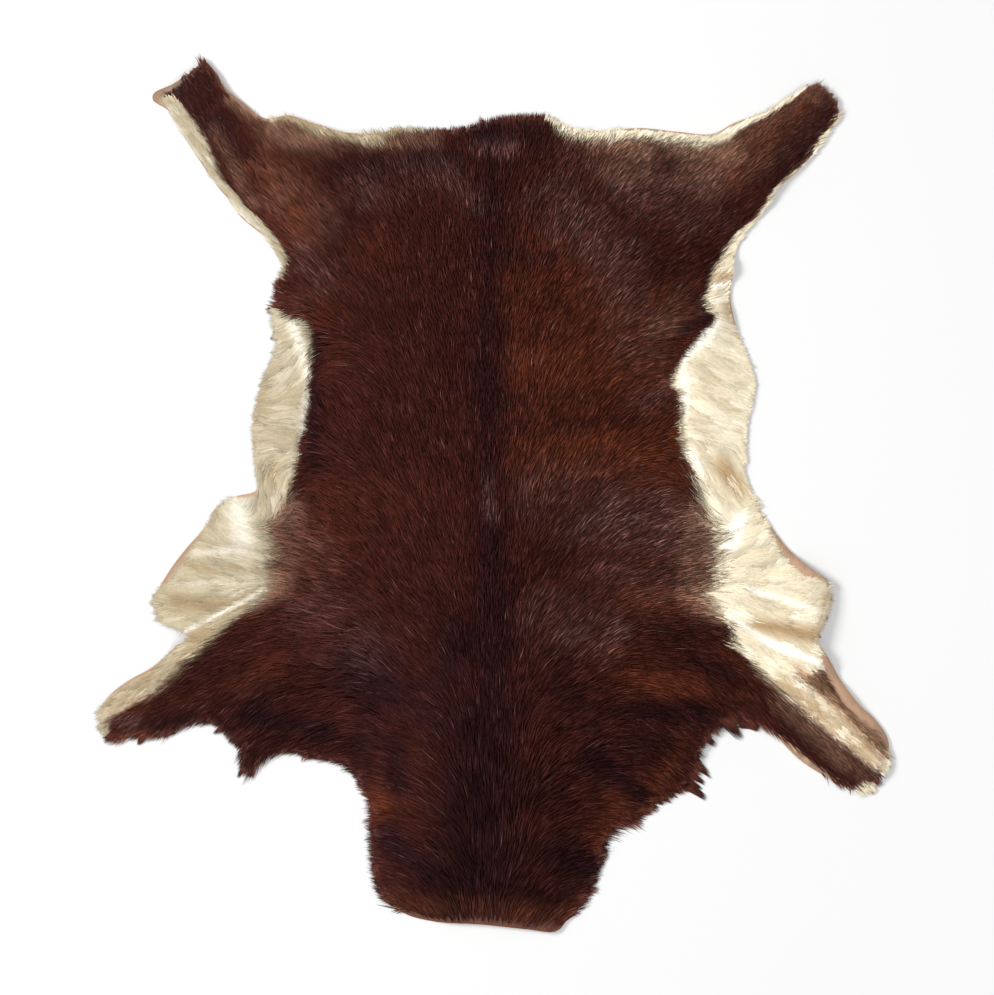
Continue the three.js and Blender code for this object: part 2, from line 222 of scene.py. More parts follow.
# Locks that stand out along the rim: x and y of the root, x and y of the tip, and half the root's width.
RIM_LOCKS = (
    # right shoulder, from the foreleg to the neck
    (253, -226, 268, -233, 8), (228, -215, 248, -247, 11), (209, -236, 224, -252, 6),
    (196, -260, 219, -284, 7), (190, -273, 214, -288, 6), (190, -281, 210, -294, 5),
    (190, -287, 215, -304, 8), (153, -302, 168, -306, 6), (145, -310, 158, -318, 6),
    (130, -317, 143, -326, 6),
    # neck
    (103, -354, 114, -354, 7), (102, -367, 112, -368, 6), (95, -385, 105, -387, 6),
    (85, -403, 94, -407, 6), (75, -417, 83, -421, 5), (-108, -395, -118, -398, 6),
    (-114, -371, -124, -373, 6), (-112, -355, -121, -357, 5), (-114, -336, -124, -338, 6),
    (-116, -315, -125, -318, 6),
    # left shoulder, from the neck to the foreleg
    (-128, -283, -139, -290, 5), (-131, -275, -142, -283, 6), (-242, -269, -244, -283, 5),
    (-249, -268, -258, -283, 5), (-245, -246, -254, -255, 6), (-253, -236, -268, -247, 7),
    (-270, -230, -283, -237, 5), (-325, -234, -332, -243, 6), (-351, -238, -357, -251, 6),
    (-382, -234, -390, -249, 7),
    # left belly flap and flank
    (-336, -99, -344, -100, 5), (-217, 163, -224, 156, 5), (-218, 189, -230, 185, 7),
    # right belly flap's end
    (332, -101, 340, -103, 4), (328, -120, 335, -124, 5), (322, -137, 327, -142, 4),
    # right foreleg's tip
    (382, -267, 402, -268, 7), (371, -289, 381, -299, 6),
)

# Markings that lie away from the rim, as strips: x0, y0, x1, y1 and the half width at each end.
CREAM_STRIPS = (
    (-305, -85, -240, -82, 46, 22),  # left belly flap
    (-258, -20, -244, -52, 26, 26),  # left belly flap's inner end
    (-228, -92, -305, -140, 8, 20),  # down to the left foreleg
    (295, -95, 238, -98, 48, 26),  # right belly flap
    (232, -112, 328, -167, 8, 5),  # right foreleg's inner streak
    (250, -140, 288, -182, 15, 11),  # right foreleg's stripe
    (288, -182, 329, -215, 11, 13),
    (329, -215, 384, -265, 13, 8),
    (384, -266, 400, -268, 7, 6),  # right foreleg's tip
    (373, -290, 381, -299, 5, 5),
)
DARK_STRIPS = (
    (302, -168, 339, -204, 3, 6),  # right foreleg's dark stripe
    (339, -204, 390, -257, 6, 6),
    # the right belly flap's end: its underside hair, dark as painted shade under the raised edge
    (343, -98, 330, -143, 5, 5),  # right belly flap's end
    (-374, -183, -321, -150, 3, 3),  # left foreleg's upper edge
)
ROOT_STRIPS = (
    (-98, -404, -64, -418, 9, 14),  # along the neck cut
    (-64, -418, 60, -426, 15, 14),
    (60, -426, 76, -412, 12, 8),
)

# Markings, painted shade, sheen and highlights that fade out to their edge, as strips with a last column for
# the strength on the middle line.
# Tan on the cream: partly the hair's own tan, partly painted shade in the folds, in the creases and under
# the flaps
TAN_AND_SHADE_STRIPS = (
    (258, -127, 318, -137, 13, 15, 1),  # under the right belly flap
    (-244, -102, -298, -142, 14, 17, 0.8),  # between the left belly flap and the foreleg
    (-316, -66, -282, -72, 7, 6, 0.6),  # left belly flap
    (-262, -70, -234, -74, 6, 6, 0.5),
    (-318, -106, -268, -108, 15, 13, 0.8),  # left belly flap's lower side
    (-298, -150, -390, -214, 15, 12, 0.6),  # left foreleg
    (288, -186, 376, -258, 15, 14, 0.8),  # right foreleg's stripe
    (-206, 378, -98, 362, 18, 18, 0.7),  # left rump
    (238, 222, 220, 218, 8, 8, 1),  # right flank's crease
    (212, 118, 234, 92, 17, 15, 0.2),  # right flank
    (200, 74, 216, 60, 11, 11, 0.4),
    (228, 32, 247, 8, 16, 15, 1),
    (232, 192, 247, 160, 9, 8, 0.7),
    (333, -96, 319, -144, 3, 3, 0.8),  # right belly flap's rolled end
    (-230, 126, -234, 56, 20, 20, 0.4),  # left flank
    (-200, 110, -206, 70, 14, 14, 0.3),
    (-226, 30, -212, 16, 16, 16, 0.6),
)
# Painted highlights: ivory where light catches the cream hair on the crests of folds, on creases and on
# ridges
IVORY_HIGHLIGHT_STRIPS = (
    (-333, 386, -295, 334, 10, 8, 0.45),  # left hind leg
    (-262, 294, -230, 260, 7, 6, 0.3),
    (-200, 172, -184, 120, 8, 7, 0.6),  # left flank's crest
    (-184, 120, -192, 40, 6, 5, 0.6),
    (222, 172, 190, 140, 8, 9, 1),  # right flank's crest
    (188, 140, 191, 84, 8, 7, 0.6),
    (196, 44, 206, 26, 8, 7, 0.9),
    (216, 209, 238, 216, 3, 3, 1),  # right flank's crease
    (-228, -93, -308, -134, 3, 2.5, 0.7),  # left belly flap's crest
    (231, -116, 272, -144, 4, 6, 0.8),  # right foreleg's inner streak
    (272, -144, 326, -166, 7, 5, 1),
    (256, -92, 320, -112, 6, 5, 0.7),  # right belly flap
    (246, -22, 236, -48, 13, 14, 1),
    (-250, -53, -304, -57, 7, 5, 0.3),  # left belly flap
    (-258, -10, -250, -40, 18, 20, 0.5),
    (-240, -80, -318, -88, 4, 3, 0.2),
)
SPINE_STRIPS = (
    (-2, 375, -8, 170, 20, 20, 0.5),  # from the tail to the neck
    (-8, 170, -4, -20, 24, 26, 0.55),
    (-4, -20, 4, -150, 28, 40, 0.7),
    (4, -150, -14, -290, 42, 66, 0.85),
    (-14, -290, -14, -370, 70, 68, 0.9),
)
SHADE_STRIPS = (
    (8, 67, 150, 76, 15, 11, 0.45),  # wave on the right side of the back
    (-2, 242, 60, 236, 14, 12, 0.6),
    (-272, 374, -246, 342, 15, 17, 0.6),  # left hind leg
    (100, -262, 140, -298, 30, 20, 1),  # right shoulder
    (196, -208, 214, -222, 15, 12, 1),
    (120, -214, 186, -214, 14, 14, 0.8),
    (60, -180, 130, -240, 50, 60, 0.5),
    (200, -160, 236, -182, 18, 18, 0.9),
    (-130, -170, -56, -225, 52, 58, 1),  # left of the neck
    (-34, -150, -56, -196, 40, 40, 1),
    (-118, -210, -132, -282, 36, 30, 0.9),
    (-100, -246, -92, -286, 32, 30, 1),
    (-104, -345, -60, -378, 28, 28, 1),  # neck
    (100, -375, 60, -360, 28, 28, 1),
    (-88, -396, 70, -398, 26, 26, 0.6),
    # beside the flanks: painted shade next to their crests
    (186, 164, 216, 182, 13, 8, 1),  # beside the right flank
    (-176, 160, -178, 30, 11, 11, 1),  # beside the left flank
    (-150, 328, -40, 338, 22, 24, 0.7),  # left rump
    (-130, 290, -160, 262, 22, 20, 0.5),
    (-14, 362, 44, 360, 30, 34, 0.8),  # tail
    (-300, -226, -370, -226, 12, 12, 0.8),  # left foreleg
    # at the left hind leg's tip and the left belly flap's edge: painted shade on the bare skin and the hair
    (-340, 404, -316, 414, 16, 14, 0.8),  # left hind leg's bare tip
    (-334, -82, -306, -46, 14, 12, 0.5),  # left belly flap's bare edge
    (-240, -215, -160, -235, 20, 20, 1),  # left shoulder
)
RUSSET_STRIPS = (
    (60, 215, 150, 140, 80, 72, 0.75),  # right side of the back
    (60, 50, 160, 40, 74, 64, 1),
    (36, 132, 120, 122, 50, 50, 1),
    (140, -102, 206, -106, 24, 22, 1),
    (-214, 320, -196, 270, 44, 38, 1),  # left rump
    (236, 330, 310, 395, 34, 22, 1),  # right hind leg
    (134, -184, 202, -190, 18, 18, 1),  # right shoulder
    (120, -300, 96, -350, 18, 14, 1),
    (190, -240, 160, -285, 14, 14, 1),
    (-310, -205, -220, -170, 18, 24, 0.5),  # left foreleg
    (-112, -300, -108, -318, 16, 14, 1),  # neck
)
# Painted sheen: patches where the guard hair's tips are greyed and pinked to stand for light on the glossy
# hair
PAINTED_SHEEN_STRIPS = (
    (-130, 308, -66, 326, 34, 30, 0.7),  # left rump
    (-44, 322, -20, 296, 24, 22, 0.6),
    (-214, 310, -176, 226, 46, 42, 0.6),
    (-16, 350, 16, 348, 16, 18, 0.8),  # tail
    (96, 336, 200, 300, 50, 60, 1),  # right rump
    (60, 290, 120, 240, 46, 46, 0.8),
    (124, 214, 156, 110, 46, 44, 0.7),  # right side of the back
    (60, 0, 205, -34, 56, 66, 1),
    (54, -122, 106, -132, 42, 46, 1),
    (120, -84, 196, -96, 56, 54, 0.6),
    (-210, -16, -184, -62, 40, 48, 0.6),  # left side of the back
    (-196, -100, -130, -156, 48, 54, 0.4),
    (-8, 12, -2, -22, 12, 14, 0.8),  # whorl on the spine
    (-386, -220, -358, -226, 14, 14, 1),  # left foreleg
)
FAWN_STRIPS = (
    (104, 356, 236, 346, 24, 28, 1),  # right rump's upper edge
    (110, 334, 230, 322, 30, 34, 0.4),
    (-226, 366, -172, 352, 26, 24, 0.8),  # left rump's upper edge
    (-172, 354, -60, 358, 16, 14, 0.5),
    (-214, 330, -176, 280, 40, 40, 0.2),
    (252, 362, 322, 402, 30, 22, 0.3),  # right hind leg
    (256, 330, 310, 372, 26, 22, 0.2),
    (-262, 396, -240, 380, 12, 14, 0.6),  # left hind leg
    (-280, 368, -240, 296, 12, 14, 0.4),
    (186, 194, 170, 172, 24, 22, 0.35),  # beside the right flank
    (-206, -18, -204, -62, 26, 26, 0.4),  # beside the left belly flap
    (-206, -84, -236, -104, 24, 18, 0.7),
    (204, -18, 212, -66, 28, 28, 0.9),  # beside the right belly flap
    (196, -60, 214, -100, 26, 26, 0.8),
    (200, -98, 226, -116, 28, 18, 1),
    (290, -205, 352, -264, 20, 18, 0.6),  # right foreleg
    (346, -262, 376, -286, 16, 14, 0.7),
    (322, -188, 384, -244, 11, 9, 1),
    (302, -168, 330, -184, 14, 12, 1),
)
SOFT_STRIPS = (
    (-214, -10, -206, -90, 40, 40, 1),  # left belly flap's inner border
    (210, -10, 216, -104, 40, 40, 1),  # right belly flap's inner border
    (276, -176, 384, -264, 32, 26, 0.8),  # right foreleg's stripe
    (-250, -152, -390, -222, 30, 26, 0.7),  # left foreleg's stripe
    (-318, 384, -276, 322, 18, 16, 0.35),  # left hind leg
    (76, 362, 240, 358, 26, 26, 0.3),  # right rump
    (-206, 370, -90, 356, 24, 24, 0.4),  # left rump
)

# Markings, painted shade, sheen and highlights by name: those that are read as a depth, and those that are
# read as a strength
DEPTH_STRIPS = {"dark": DARK_STRIPS, "roots": ROOT_STRIPS}
FADING_STRIPS = {
    "tan": TAN_AND_SHADE_STRIPS,
    "ivory_highlight": IVORY_HIGHLIGHT_STRIPS,
    "spine": SPINE_STRIPS,
    "shade": SHADE_STRIPS,
    "russet": RUSSET_STRIPS,
    "painted_sheen": PAINTED_SHEEN_STRIPS,
    "fawn": FAWN_STRIPS,
    "soft": SOFT_STRIPS,
}

# The chart that the tables are read from
CHART_PITCH = 2 * MM
CHART_MARGIN = 40 * MM
RIM_STEPS = 14  # points on the rim from one row of its table to the next
POINTS_AT_ONCE = 4000  # points that are measured to the rim together
SMOOTHINGS = 4  # times that the rim's columns are evened out over the chart
GUIDE_REACH = 22 * MM  # how far a row of COMB rules before its weight falls off
LEVEL = 1e-12  # keeps the slope of a level edge finite
CLOSE = 1e-6  # heights and points closer than this are taken as one
TINY = 1e-9  # least length to divide by

# The hair. A pair is what a value varies between from hair to hair, as a share if nothing else is said.
LENGTH_RANGE = (0.75, 1.2)
RISE_RANGE = (0.7, 1.25)
WIDTH_RANGE = (0.7, 1.3)
RIM_SLACK = (0.5, 1.25)  # shares of the rim's lock that tips may pass the rim by
CREAM_SLACK = (2, 9)  # millimetres that brown hair may reach over the cream
BARE_SLACK = (0, 3)  # millimetres that hair may reach over bare skin
BARE_CUT = (0.2, 0.6)  # shares of bare skin from which a root is left out
ROOT_INSET = 0.8 * MM  # roots are at least this far in from the rim
WELL_INSIDE = 4 * MM  # roots this deep in a marking are its own
LOWEST = 0.5 * MM  # least height of a strand's middle line
LONG_HAIR = 23 * MM  # hair from this length on gathers in the larger locks
SHORTEST_HAIR = 4 * MM  # hair isn't cut shorter than this
CUT_BACK = 1.1  # share of what passes a limit that is cut off
ROOT_DEPTH = 0.4 * MM  # how deep roots sink, and the least height of what they lie on
RIM_INSET = (1, 9)  # millimetres that the rim hair's roots are in from the rim
RIM_HAIR_LENGTH = (5 * MM, 40 * MM)  # least and most
RIM_HAIR_PAST = (0.7, 1.15)  # shares of its reach past the rim
OUTWARD_TURN = 0.35  # how far rim hair turns outward from the lie of the hair
LOCK_HAIRS = 9  # hairs of a rim lock for each millimetre of half its width
BRIGHTEST = 0.95  # limit of a hair's colour
CORNERS = np.radians((90, 210, 330))  # where a strand's three sides meet
MAP_SHAPE = 2.5  # columns of the bake map for each row
MAP_ACROSS = (0.1, 0.5, 0.9)  # left, middle and right of a strand in its cell of the map
TINT = "tint"

# Random streams. Those over the plane have the size of a feature, and a seed.
LATTICE = 256  # cells after which a stream repeats over the plane
PILE_NOISE = (38 * MM, 12)
FINE_BORDER_NOISE = (9 * MM, 13)
BORDER_NOISE = (26 * MM, 14)
BARE_NOISE = (7 * MM, 15)
DRIFT_NOISE = (60 * MM, 16)
FINE_NOISE = (7 * MM, 17)
CLOUD_NOISE = (24 * MM, 19)
STRAY_SIZE = 14 * MM  # patches in which neighbouring strands stray alike
LOCK_SEED, LONG_LOCK_SEED = 11, 18
UNDERCOAT_SEED, TOPCOAT_SEED, FLANK_SEED, RIM_HAIR_SEED, RIM_LOCK_SEED = range(31, 72, 10)

# The skin
EDGE_STRIDE = 3  # steps of the rim's line for each edge of the skin
POINT_INSET = 0.7  # least distance of its inner points from the rim, as a share of their pitch
FACE_DOWN = 0.05  # faces that look up less than this are the flesh side

# The stage
KEY_PLACE, KEY_SIZE = (-3.2, 1.1, 2.9), 1.5
TOP_PLACE, TOP_SIZE = (1.5, -0.7, 3.4), 2.6
VIEW_MIDDLE = (3 * MM, -0.5 * MM, 10 * MM)  # point that the camera is straight above
SENSOR = 36  # width of the camera's sensor in millimetres
FLOOR_DROP = 0.5 * MM  # gap that keeps the floor out of the skin's underside


def tone(red, green, blue):
    """A screen colour, 0 to 255, as the linear colour that Blender's sockets take."""
    share = np.array((red, green, blue)) / 255
    linear = np.where(share <= 0.04045, share / 12.92, ((share + 0.055) / 1.055) ** 2.4)
    return tuple(float(part) for part in linear)


def colour_property(name, description, *screen_colour):
    return FloatVectorProperty(
        name=name, description=description, default=tone(*screen_colour), subtype="COLOR", min=0, max=1
    )


def length_property(name, description, millimetres):
    return FloatProperty(
        name=name, description=description, default=millimetres * MM, min=0, unit="LENGTH", precision=5
    )


class GoatskinSizes(bpy.types.PropertyGroup):
    """Sizes of the skin and of its hair."""

    skin_thickness: length_property("Skin", "Thickness of the tanned skin", 2)
    skin_pitch: length_property("Skin pitch", "Distance between the points of the skin's surface", 6)
    back_pile: length_property("Pile", "Depth of the coat on the back", 9)
    rim_slope: length_property("Rim slope", "Width of the strip in which the coat thins to the rim", 34)
    lock_pitch: length_property("Lock", "Distance between the locks that the hair gathers in", 9)
    long_lock_pitch: length_property("Long lock", "Distance between the locks of the long hair", 17)
    undercoat_pitch: length_property("Undercoat pitch", "Distance between the undercoat's hairs", 2.1)
    topcoat_pitch: length_property("Topcoat pitch", "Distance between the topcoat's hairs", 3.1)
    flank_pitch: length_property("Flank pitch", "Distance between the cream hairs", 2.25)
    rim_pitch: length_property("Rim pitch", "Distance between the hairs along the rim", 0.9)
    undercoat_width: length_property("Undercoat hair", "Width of a wisp of the undercoat", 1.3)
    topcoat_width: length_property("Topcoat hair", "Width of a wisp of the topcoat", 1.2)
    flank_width: length_property("Flank hair", "Width of a wisp of the cream hair", 2.2)


class GoatskinColours(bpy.types.PropertyGroup):
    """Colours of the coat and of the skin, and of the shade, sheen and highlights painted on the coat."""

    chestnut: colour_property("Chestnut", "The back and the legs", 73, 33, 27)
    spine: colour_property("Spine", "The dark line along the spine", 34, 16, 24)
    russet: colour_property("Russet", "Warmer patches of the back", 112, 55, 34)
    # painted sheen: the light that glossy guard hair reflects, painted as greyed tips
    painted_sheen: colour_property("Ash", "Greyed tips of the guard hair", 158, 115, 108)
    fawn: colour_property("Fawn", "Where brown hair pales towards the cream", 176, 134, 110)
    # the dark stripes' own colour, and painted shade at the right belly flap's end
    umber: colour_property("Umber", "Dark stripes and edges", 160, 128, 98)
    roots: colour_property("Roots", "Hair roots that show along the neck cut", 112, 66, 44)
    cream: colour_property("Cream", "The flanks, the belly and the strips along the legs", 209, 198, 172)
    # painted highlight on the cream hair, on crests and on the lighter locks
    ivory_highlight: colour_property("Ivory", "The whitest cream hair", 238, 234, 221)
    # partly the hair's own tan, partly painted shade in folds, between locks and on the left side
    tan: colour_property("Tan", "Thin, smooth hair in the folds", 162, 136, 101)
    # painted shade: dims and cools the cream hair on the left, which gets less light
    dusk: colour_property("Dusk", "What dims the cream hair on the left", 221, 226, 228)
    bare: colour_property("Bare skin", "Hairless skin along the rim", 168, 134, 108)
    flesh: colour_property("Flesh side", "The suede underside", 206, 176, 140)


class GoatskinStage(bpy.types.PropertyGroup):
    """The floor, the lights and the camera."""

    floor: colour_property("Floor", "The pale floor", 200, 200, 200)
    floor_size: length_property("Floor size", "Side of the square floor", 8000)
    key_power: FloatProperty(name="Key", description="Soft light from the left", default=222, unit="POWER")
    top_power: FloatProperty(name="Top", description="Wide light overhead", default=80, unit="POWER")
    sky: FloatProperty(name="Sky", description="Strength of the even light all round", default=0.6)
    lens: FloatProperty(name="Lens", description="Focal length in millimetres", default=100, unit="CAMERA")
    view_size: length_property("View", "Side of the square that the picture takes in", 995)


# Numbers over the plane of the hide


def smooth_step(value, low, high):
    share = np.clip((value - low) / (high - low), 0, 1)
    return share * share * (3 - 2 * share)


def soft_bump(share):
    """1 at 0, and 0 with a level tangent at 1 and beyond."""
    return np.where(share < 1, (1 - share * share) ** 2, 0)


def mixed(one, other, share):
    """Colours from one to the other, by a share for each row."""
    share = np.asarray(share)[:, None]
    return one * (1 - share) + other * share


def blended(field, cell, across, along):
    """Values between the corners of each cell of a field that repeats past its ends."""

    def corner(i, j):
        return field[(cell[:, 0] + i) % field.shape[0], (cell[:, 1] + j) % field.shape[1]]

    near = corner(0, 0) * (1 - across) + corner(1, 0) * across
    far = corner(0, 1) * (1 - across) + corner(1, 1) * across
    return near * (1 - along) + far * along


def plane_noise(xy, pitch, seed):
    """Smooth noise from -1 to 1 with a feature of about the pitch."""
    lattice = np.random.default_rng(seed).uniform(-1, 1, (LATTICE, LATTICE))
    place = xy / pitch
    cell = np.floor(place).astype(int)
    return blended(lattice, cell, *smooth_step(place - cell, 0, 1).T)


def nearest_lock(xy, pitch, seed):
    """The middle of the lock that each root belongs to, and a number from 0 to 1 for that lock."""
    scatter = np.random.default_rng(seed).uniform(0, 1, (LATTICE, LATTICE, 3))
    home = np.floor(xy / pitch).astype(int)
    least = np.full(len(xy), np.inf)
    middle = np.zeros_like(xy)
    lot = np.zeros(len(xy))
    for step in np.ndindex(3, 3):
        cell = home + np.array(step) - 1
        drawn = scatter[cell[:, 0] % LATTICE, cell[:, 1] % LATTICE]
        place = (cell + drawn[:, :2]) * pitch
        apart = np.linalg.norm(xy - place, axis=1)
        closer = apart < least
        least[closer] = apart[closer]
        middle[closer] = place[closer]
        lot[closer] = drawn[closer, 2]
    return middle, lot


def along_strip(xy, strip):
    """Distance from a strip's middle line, and the share of the way along it."""
    start, end = np.array(strip[0:2]) * MM, np.array(strip[2:4]) * MM
    way = end - start
    share = np.clip((xy - start) @ way / (way @ way), 0, 1)
    return np.linalg.norm(xy - start - share[:, None] * way, axis=1), share


def across_strip(xy, strip):
    """Distance from a strip's middle line, and the strip's half width there."""
    apart, share = along_strip(xy, strip)
    return apart, (strip[4] + (strip[5] - strip[4]) * share) * MM


def strip_depth(xy, strips):
    """How deep each point lies inside the nearest strip. It is negative outside."""
    deepest = np.full(len(xy), -np.inf)
    for strip in strips:
        apart, half = across_strip(xy, strip)
        deepest = np.maximum(deepest, half - apart)
    return deepest


def strip_share(xy, strips):
    """A strip's strength on its middle line, falling smoothly to 0 at its edge."""
    most = np.zeros(len(xy))
    for strip in strips:
        apart, half = across_strip(xy, strip)
        most = np.maximum(most, strip[6] * soft_bump(apart / half))
    return most


def smooth_closed_line(rows, steps):
    """A closed centripetal curve through the rows, with all their columns carried along."""
    before, here, after, beyond = (np.roll(rows, shift, axis=0) for shift in (1, 0, -1, -2))

    def knot(one, other):
        return np.sqrt(np.linalg.norm((other - one)[:, :3], axis=1))[:, None]

    first, second, third = knot(before, here), knot(here, after), knot(after, beyond)
    leave = (here - before) / first - (after - before) / (first + second) + (after - here) / second
    reach = (after - here) / second - (beyond - here) / (second + third) + (beyond - after) / third
    share = np.linspace(0, 1, steps, endpoint=False)[None, :, None]
    square, cube = share**2, share**3
    line = (
        (2 * cube - 3 * square + 1) * here[:, None]
        + (cube - 2 * square + share) * (leave * second)[:, None]
        + (3 * square - 2 * cube) * after[:, None]
        + (cube - square) * (reach * second)[:, None]
    )
    return line.reshape(-1, rows.shape[1])


class Chart:
    """The laid-out hide, read from its tables onto a square grid over the plane."""

    def __init__(self, sizes):
        low, high = (np.array(corner[:2]) for corner in CAD_BOX)
        self.low = low - CHART_MARGIN
        self.shape = np.ceil((high - low + 2 * CHART_MARGIN) / CHART_PITCH).astype(int) + 1
        grid = np.stack(np.indices(self.shape), axis=-1).reshape(-1, 2)
        self.points = self.low + grid * CHART_PITCH
        self.fields = {}
        self.rim = smooth_closed_line(np.array(RIM, float), RIM_STEPS) * MM
        self.chart_rim()
        self.chart_markings()
        self.chart_heights(sizes)
        self.chart_comb()

    def keep(self, name, values):
        self.fields[name] = values.reshape(self.shape)

    def whole(self, name):
        return self.fields[name].ravel()

    def read(self, name, xy):
        """A field's value at each point, straight between the grid's points."""
        field = self.fields[name]
        place = np.clip((xy - self.low) / CHART_PITCH, 0, self.shape - 1.001)
        cell = place.astype(int)
        return blended(field, cell, *(place - cell).T)

    def chart_rim(self):
        """Distance in from the rim, and the columns of the nearest point of the rim."""
        count = len(self.points)
        inward = np.empty(count)
        nearest = np.empty(count, int)
        start = self.rim[:, :2]
        end = np.roll(start, -1, axis=0)
        slope = (end[:, 0] - start[:, 0]) / (end[:, 1] - start[:, 1] + LEVEL)
        for first in range(0, count, POINTS_AT_ONCE):
            part = slice(first, first + POINTS_AT_ONCE)
            x, y = self.points[part, :1], self.points[part, 1:]
            square = (x - start[:, 0]) ** 2 + (y - start[:, 1]) ** 2
            nearest[part] = square.argmin(axis=1)
            crossing = (start[:, 1] > y) != (end[:, 1] > y)
            beyond = x < start[:, 0] + (y - start[:, 1]) * slope
            inside = (crossing & beyond).sum(axis=1) % 2 == 1
            inward[part] = np.sqrt(square.min(axis=1)) * np.where(inside, 1, -1)
        self.keep("inward", inward)
        for column, name in enumerate(("lock", "cream_width", "bare_width"), start=2):
            field = np.maximum(self.rim[nearest, column], 0).reshape(self.shape)
            for _ in range(SMOOTHINGS):
                field = sum(np.roll(field, step, axis) for step in (-1, 0, 1) for axis in (0, 1)) / 6
            self.keep(name, field)

    def chart_heights(self, sizes):
        """The skin's underside, the depth of the coat, and the bed that loose hair lies on."""
        rise = np.zeros(len(self.points))
        for fold in FOLDS:
            apart, _ = along_strip(self.points, fold)
            rise = np.maximum(rise, fold[5] * MM * soft_bump(apart / (fold[4] * MM)))
        pile = np.full(len(self.points), sizes.back_pile)
        for x, y, radius, depth in COAT_PATCHES:
            apart = np.linalg.norm(self.points - np.array((x, y)) * MM, axis=1)
            pile += depth * MM * soft_bump(apart / (radius * MM))
        inward = self.whole("inward")
        bare = smooth_step(self.whole("bare_width") - inward, -3 * MM, 3 * MM)
        pile *= 1 + 0.16 * plane_noise(self.points, *PILE_NOISE)
        pile *= 0.3 + 0.7 * smooth_step(inward, 0, sizes.rim_slope)
        pile *= (1 - 0.85 * bare) * smooth_step(inward, -25 * MM, 0)
        silky = smooth_step(self.whole("cream"), 0, 10 * MM)
        wool = (0.42 + 0.33 * silky) * pile * smooth_step(inward, 0, 20 * MM)
        resting = (rise + sizes.skin_thickness) * smooth_step(inward, -14 * MM, -1 * MM)
        self.keep("rise", rise)
        self.keep("wool", wool)
        self.keep("bed", np.maximum(resting + wool, ROOT_DEPTH))
        self.keep("loose", pile - wool)

    def chart_comb(self):
        """The way the hair lies, and its length."""
        way = np.zeros((len(self.points), 2))
        length = np.zeros(len(self.points))
        total = np.zeros(len(self.points))
        for x, y, heading, long in COMB:
            square = ((self.points - np.array((x, y)) * MM) ** 2).sum(axis=1)
            weight = 1 / (GUIDE_REACH**2 + square) ** 2
            turn = np.radians(heading)
            way += weight[:, None] * np.array((np.cos(turn), np.sin(turn)))
            length += weight * long * MM
            total += weight
        angle = np.arctan2(way[:, 1], way[:, 0])
        self.keep("way_x", np.cos(angle))
        self.keep("way_y", np.sin(angle))
        self.keep("length", length / total)

    def chart_markings(self):
        """How deep each point lies in each marking, or how strong each marking, painted shade, sheen and
        highlight is there.
        """
        points = self.points
        for name, least in (("cream", 1 * MM), ("bare", 0.5 * MM)):
            width = self.whole(name + "_width")
            self.keep(name, np.where(width > least, width - self.whole("inward"), -1))
        self.keep("cream", np.maximum(self.whole("cream"), strip_depth(points, CREAM_STRIPS)))
        for name, strips in DEPTH_STRIPS.items():
            self.keep(name, strip_depth(points, strips))
        for name, strips in FADING_STRIPS.items():
            self.keep(name, strip_share(points, strips))

    def way(self, xy):
        """Unit vectors along the lie of the hair."""
        ways = np.stack((self.read("way_x", xy), self.read("way_y", xy)), axis=1)
        return ways / np.linalg.norm(ways, axis=1)[:, None]


CHARTS = {}


def hide_chart():
    """The chart, made once."""
    if "hide" not in CHARTS:
        CHARTS["hide"] = Chart(bpy.context.scene.goatskin_sizes)
    return CHARTS["hide"]


def cream_share(chart, xy):
    """How much of the hair at each point is cream. Wide patches have an uneven, softer border."""
    wide = 0.2 + 0.8 * smooth_step(chart.read("cream_width", xy), 8 * MM, 40 * MM)
    ragged = 2 * plane_noise(xy, *FINE_BORDER_NOISE) + 3 * plane_noise(xy, *BORDER_NOISE)
    ragged = ragged * MM
    soft = (1 + 3 * wide + 20 * chart.read("soft", xy)) * MM
    return smooth_step((chart.read("cream", xy) + wide * ragged) / soft, -1, 1)


def bare_share(chart, xy):
    """How much of the skin at each point is bare."""
    ragged = 1.5 * MM * plane_noise(xy, *BARE_NOISE)
    return smooth_step(chart.read("bare", xy) + ragged, -2 * MM, 1.5 * MM)


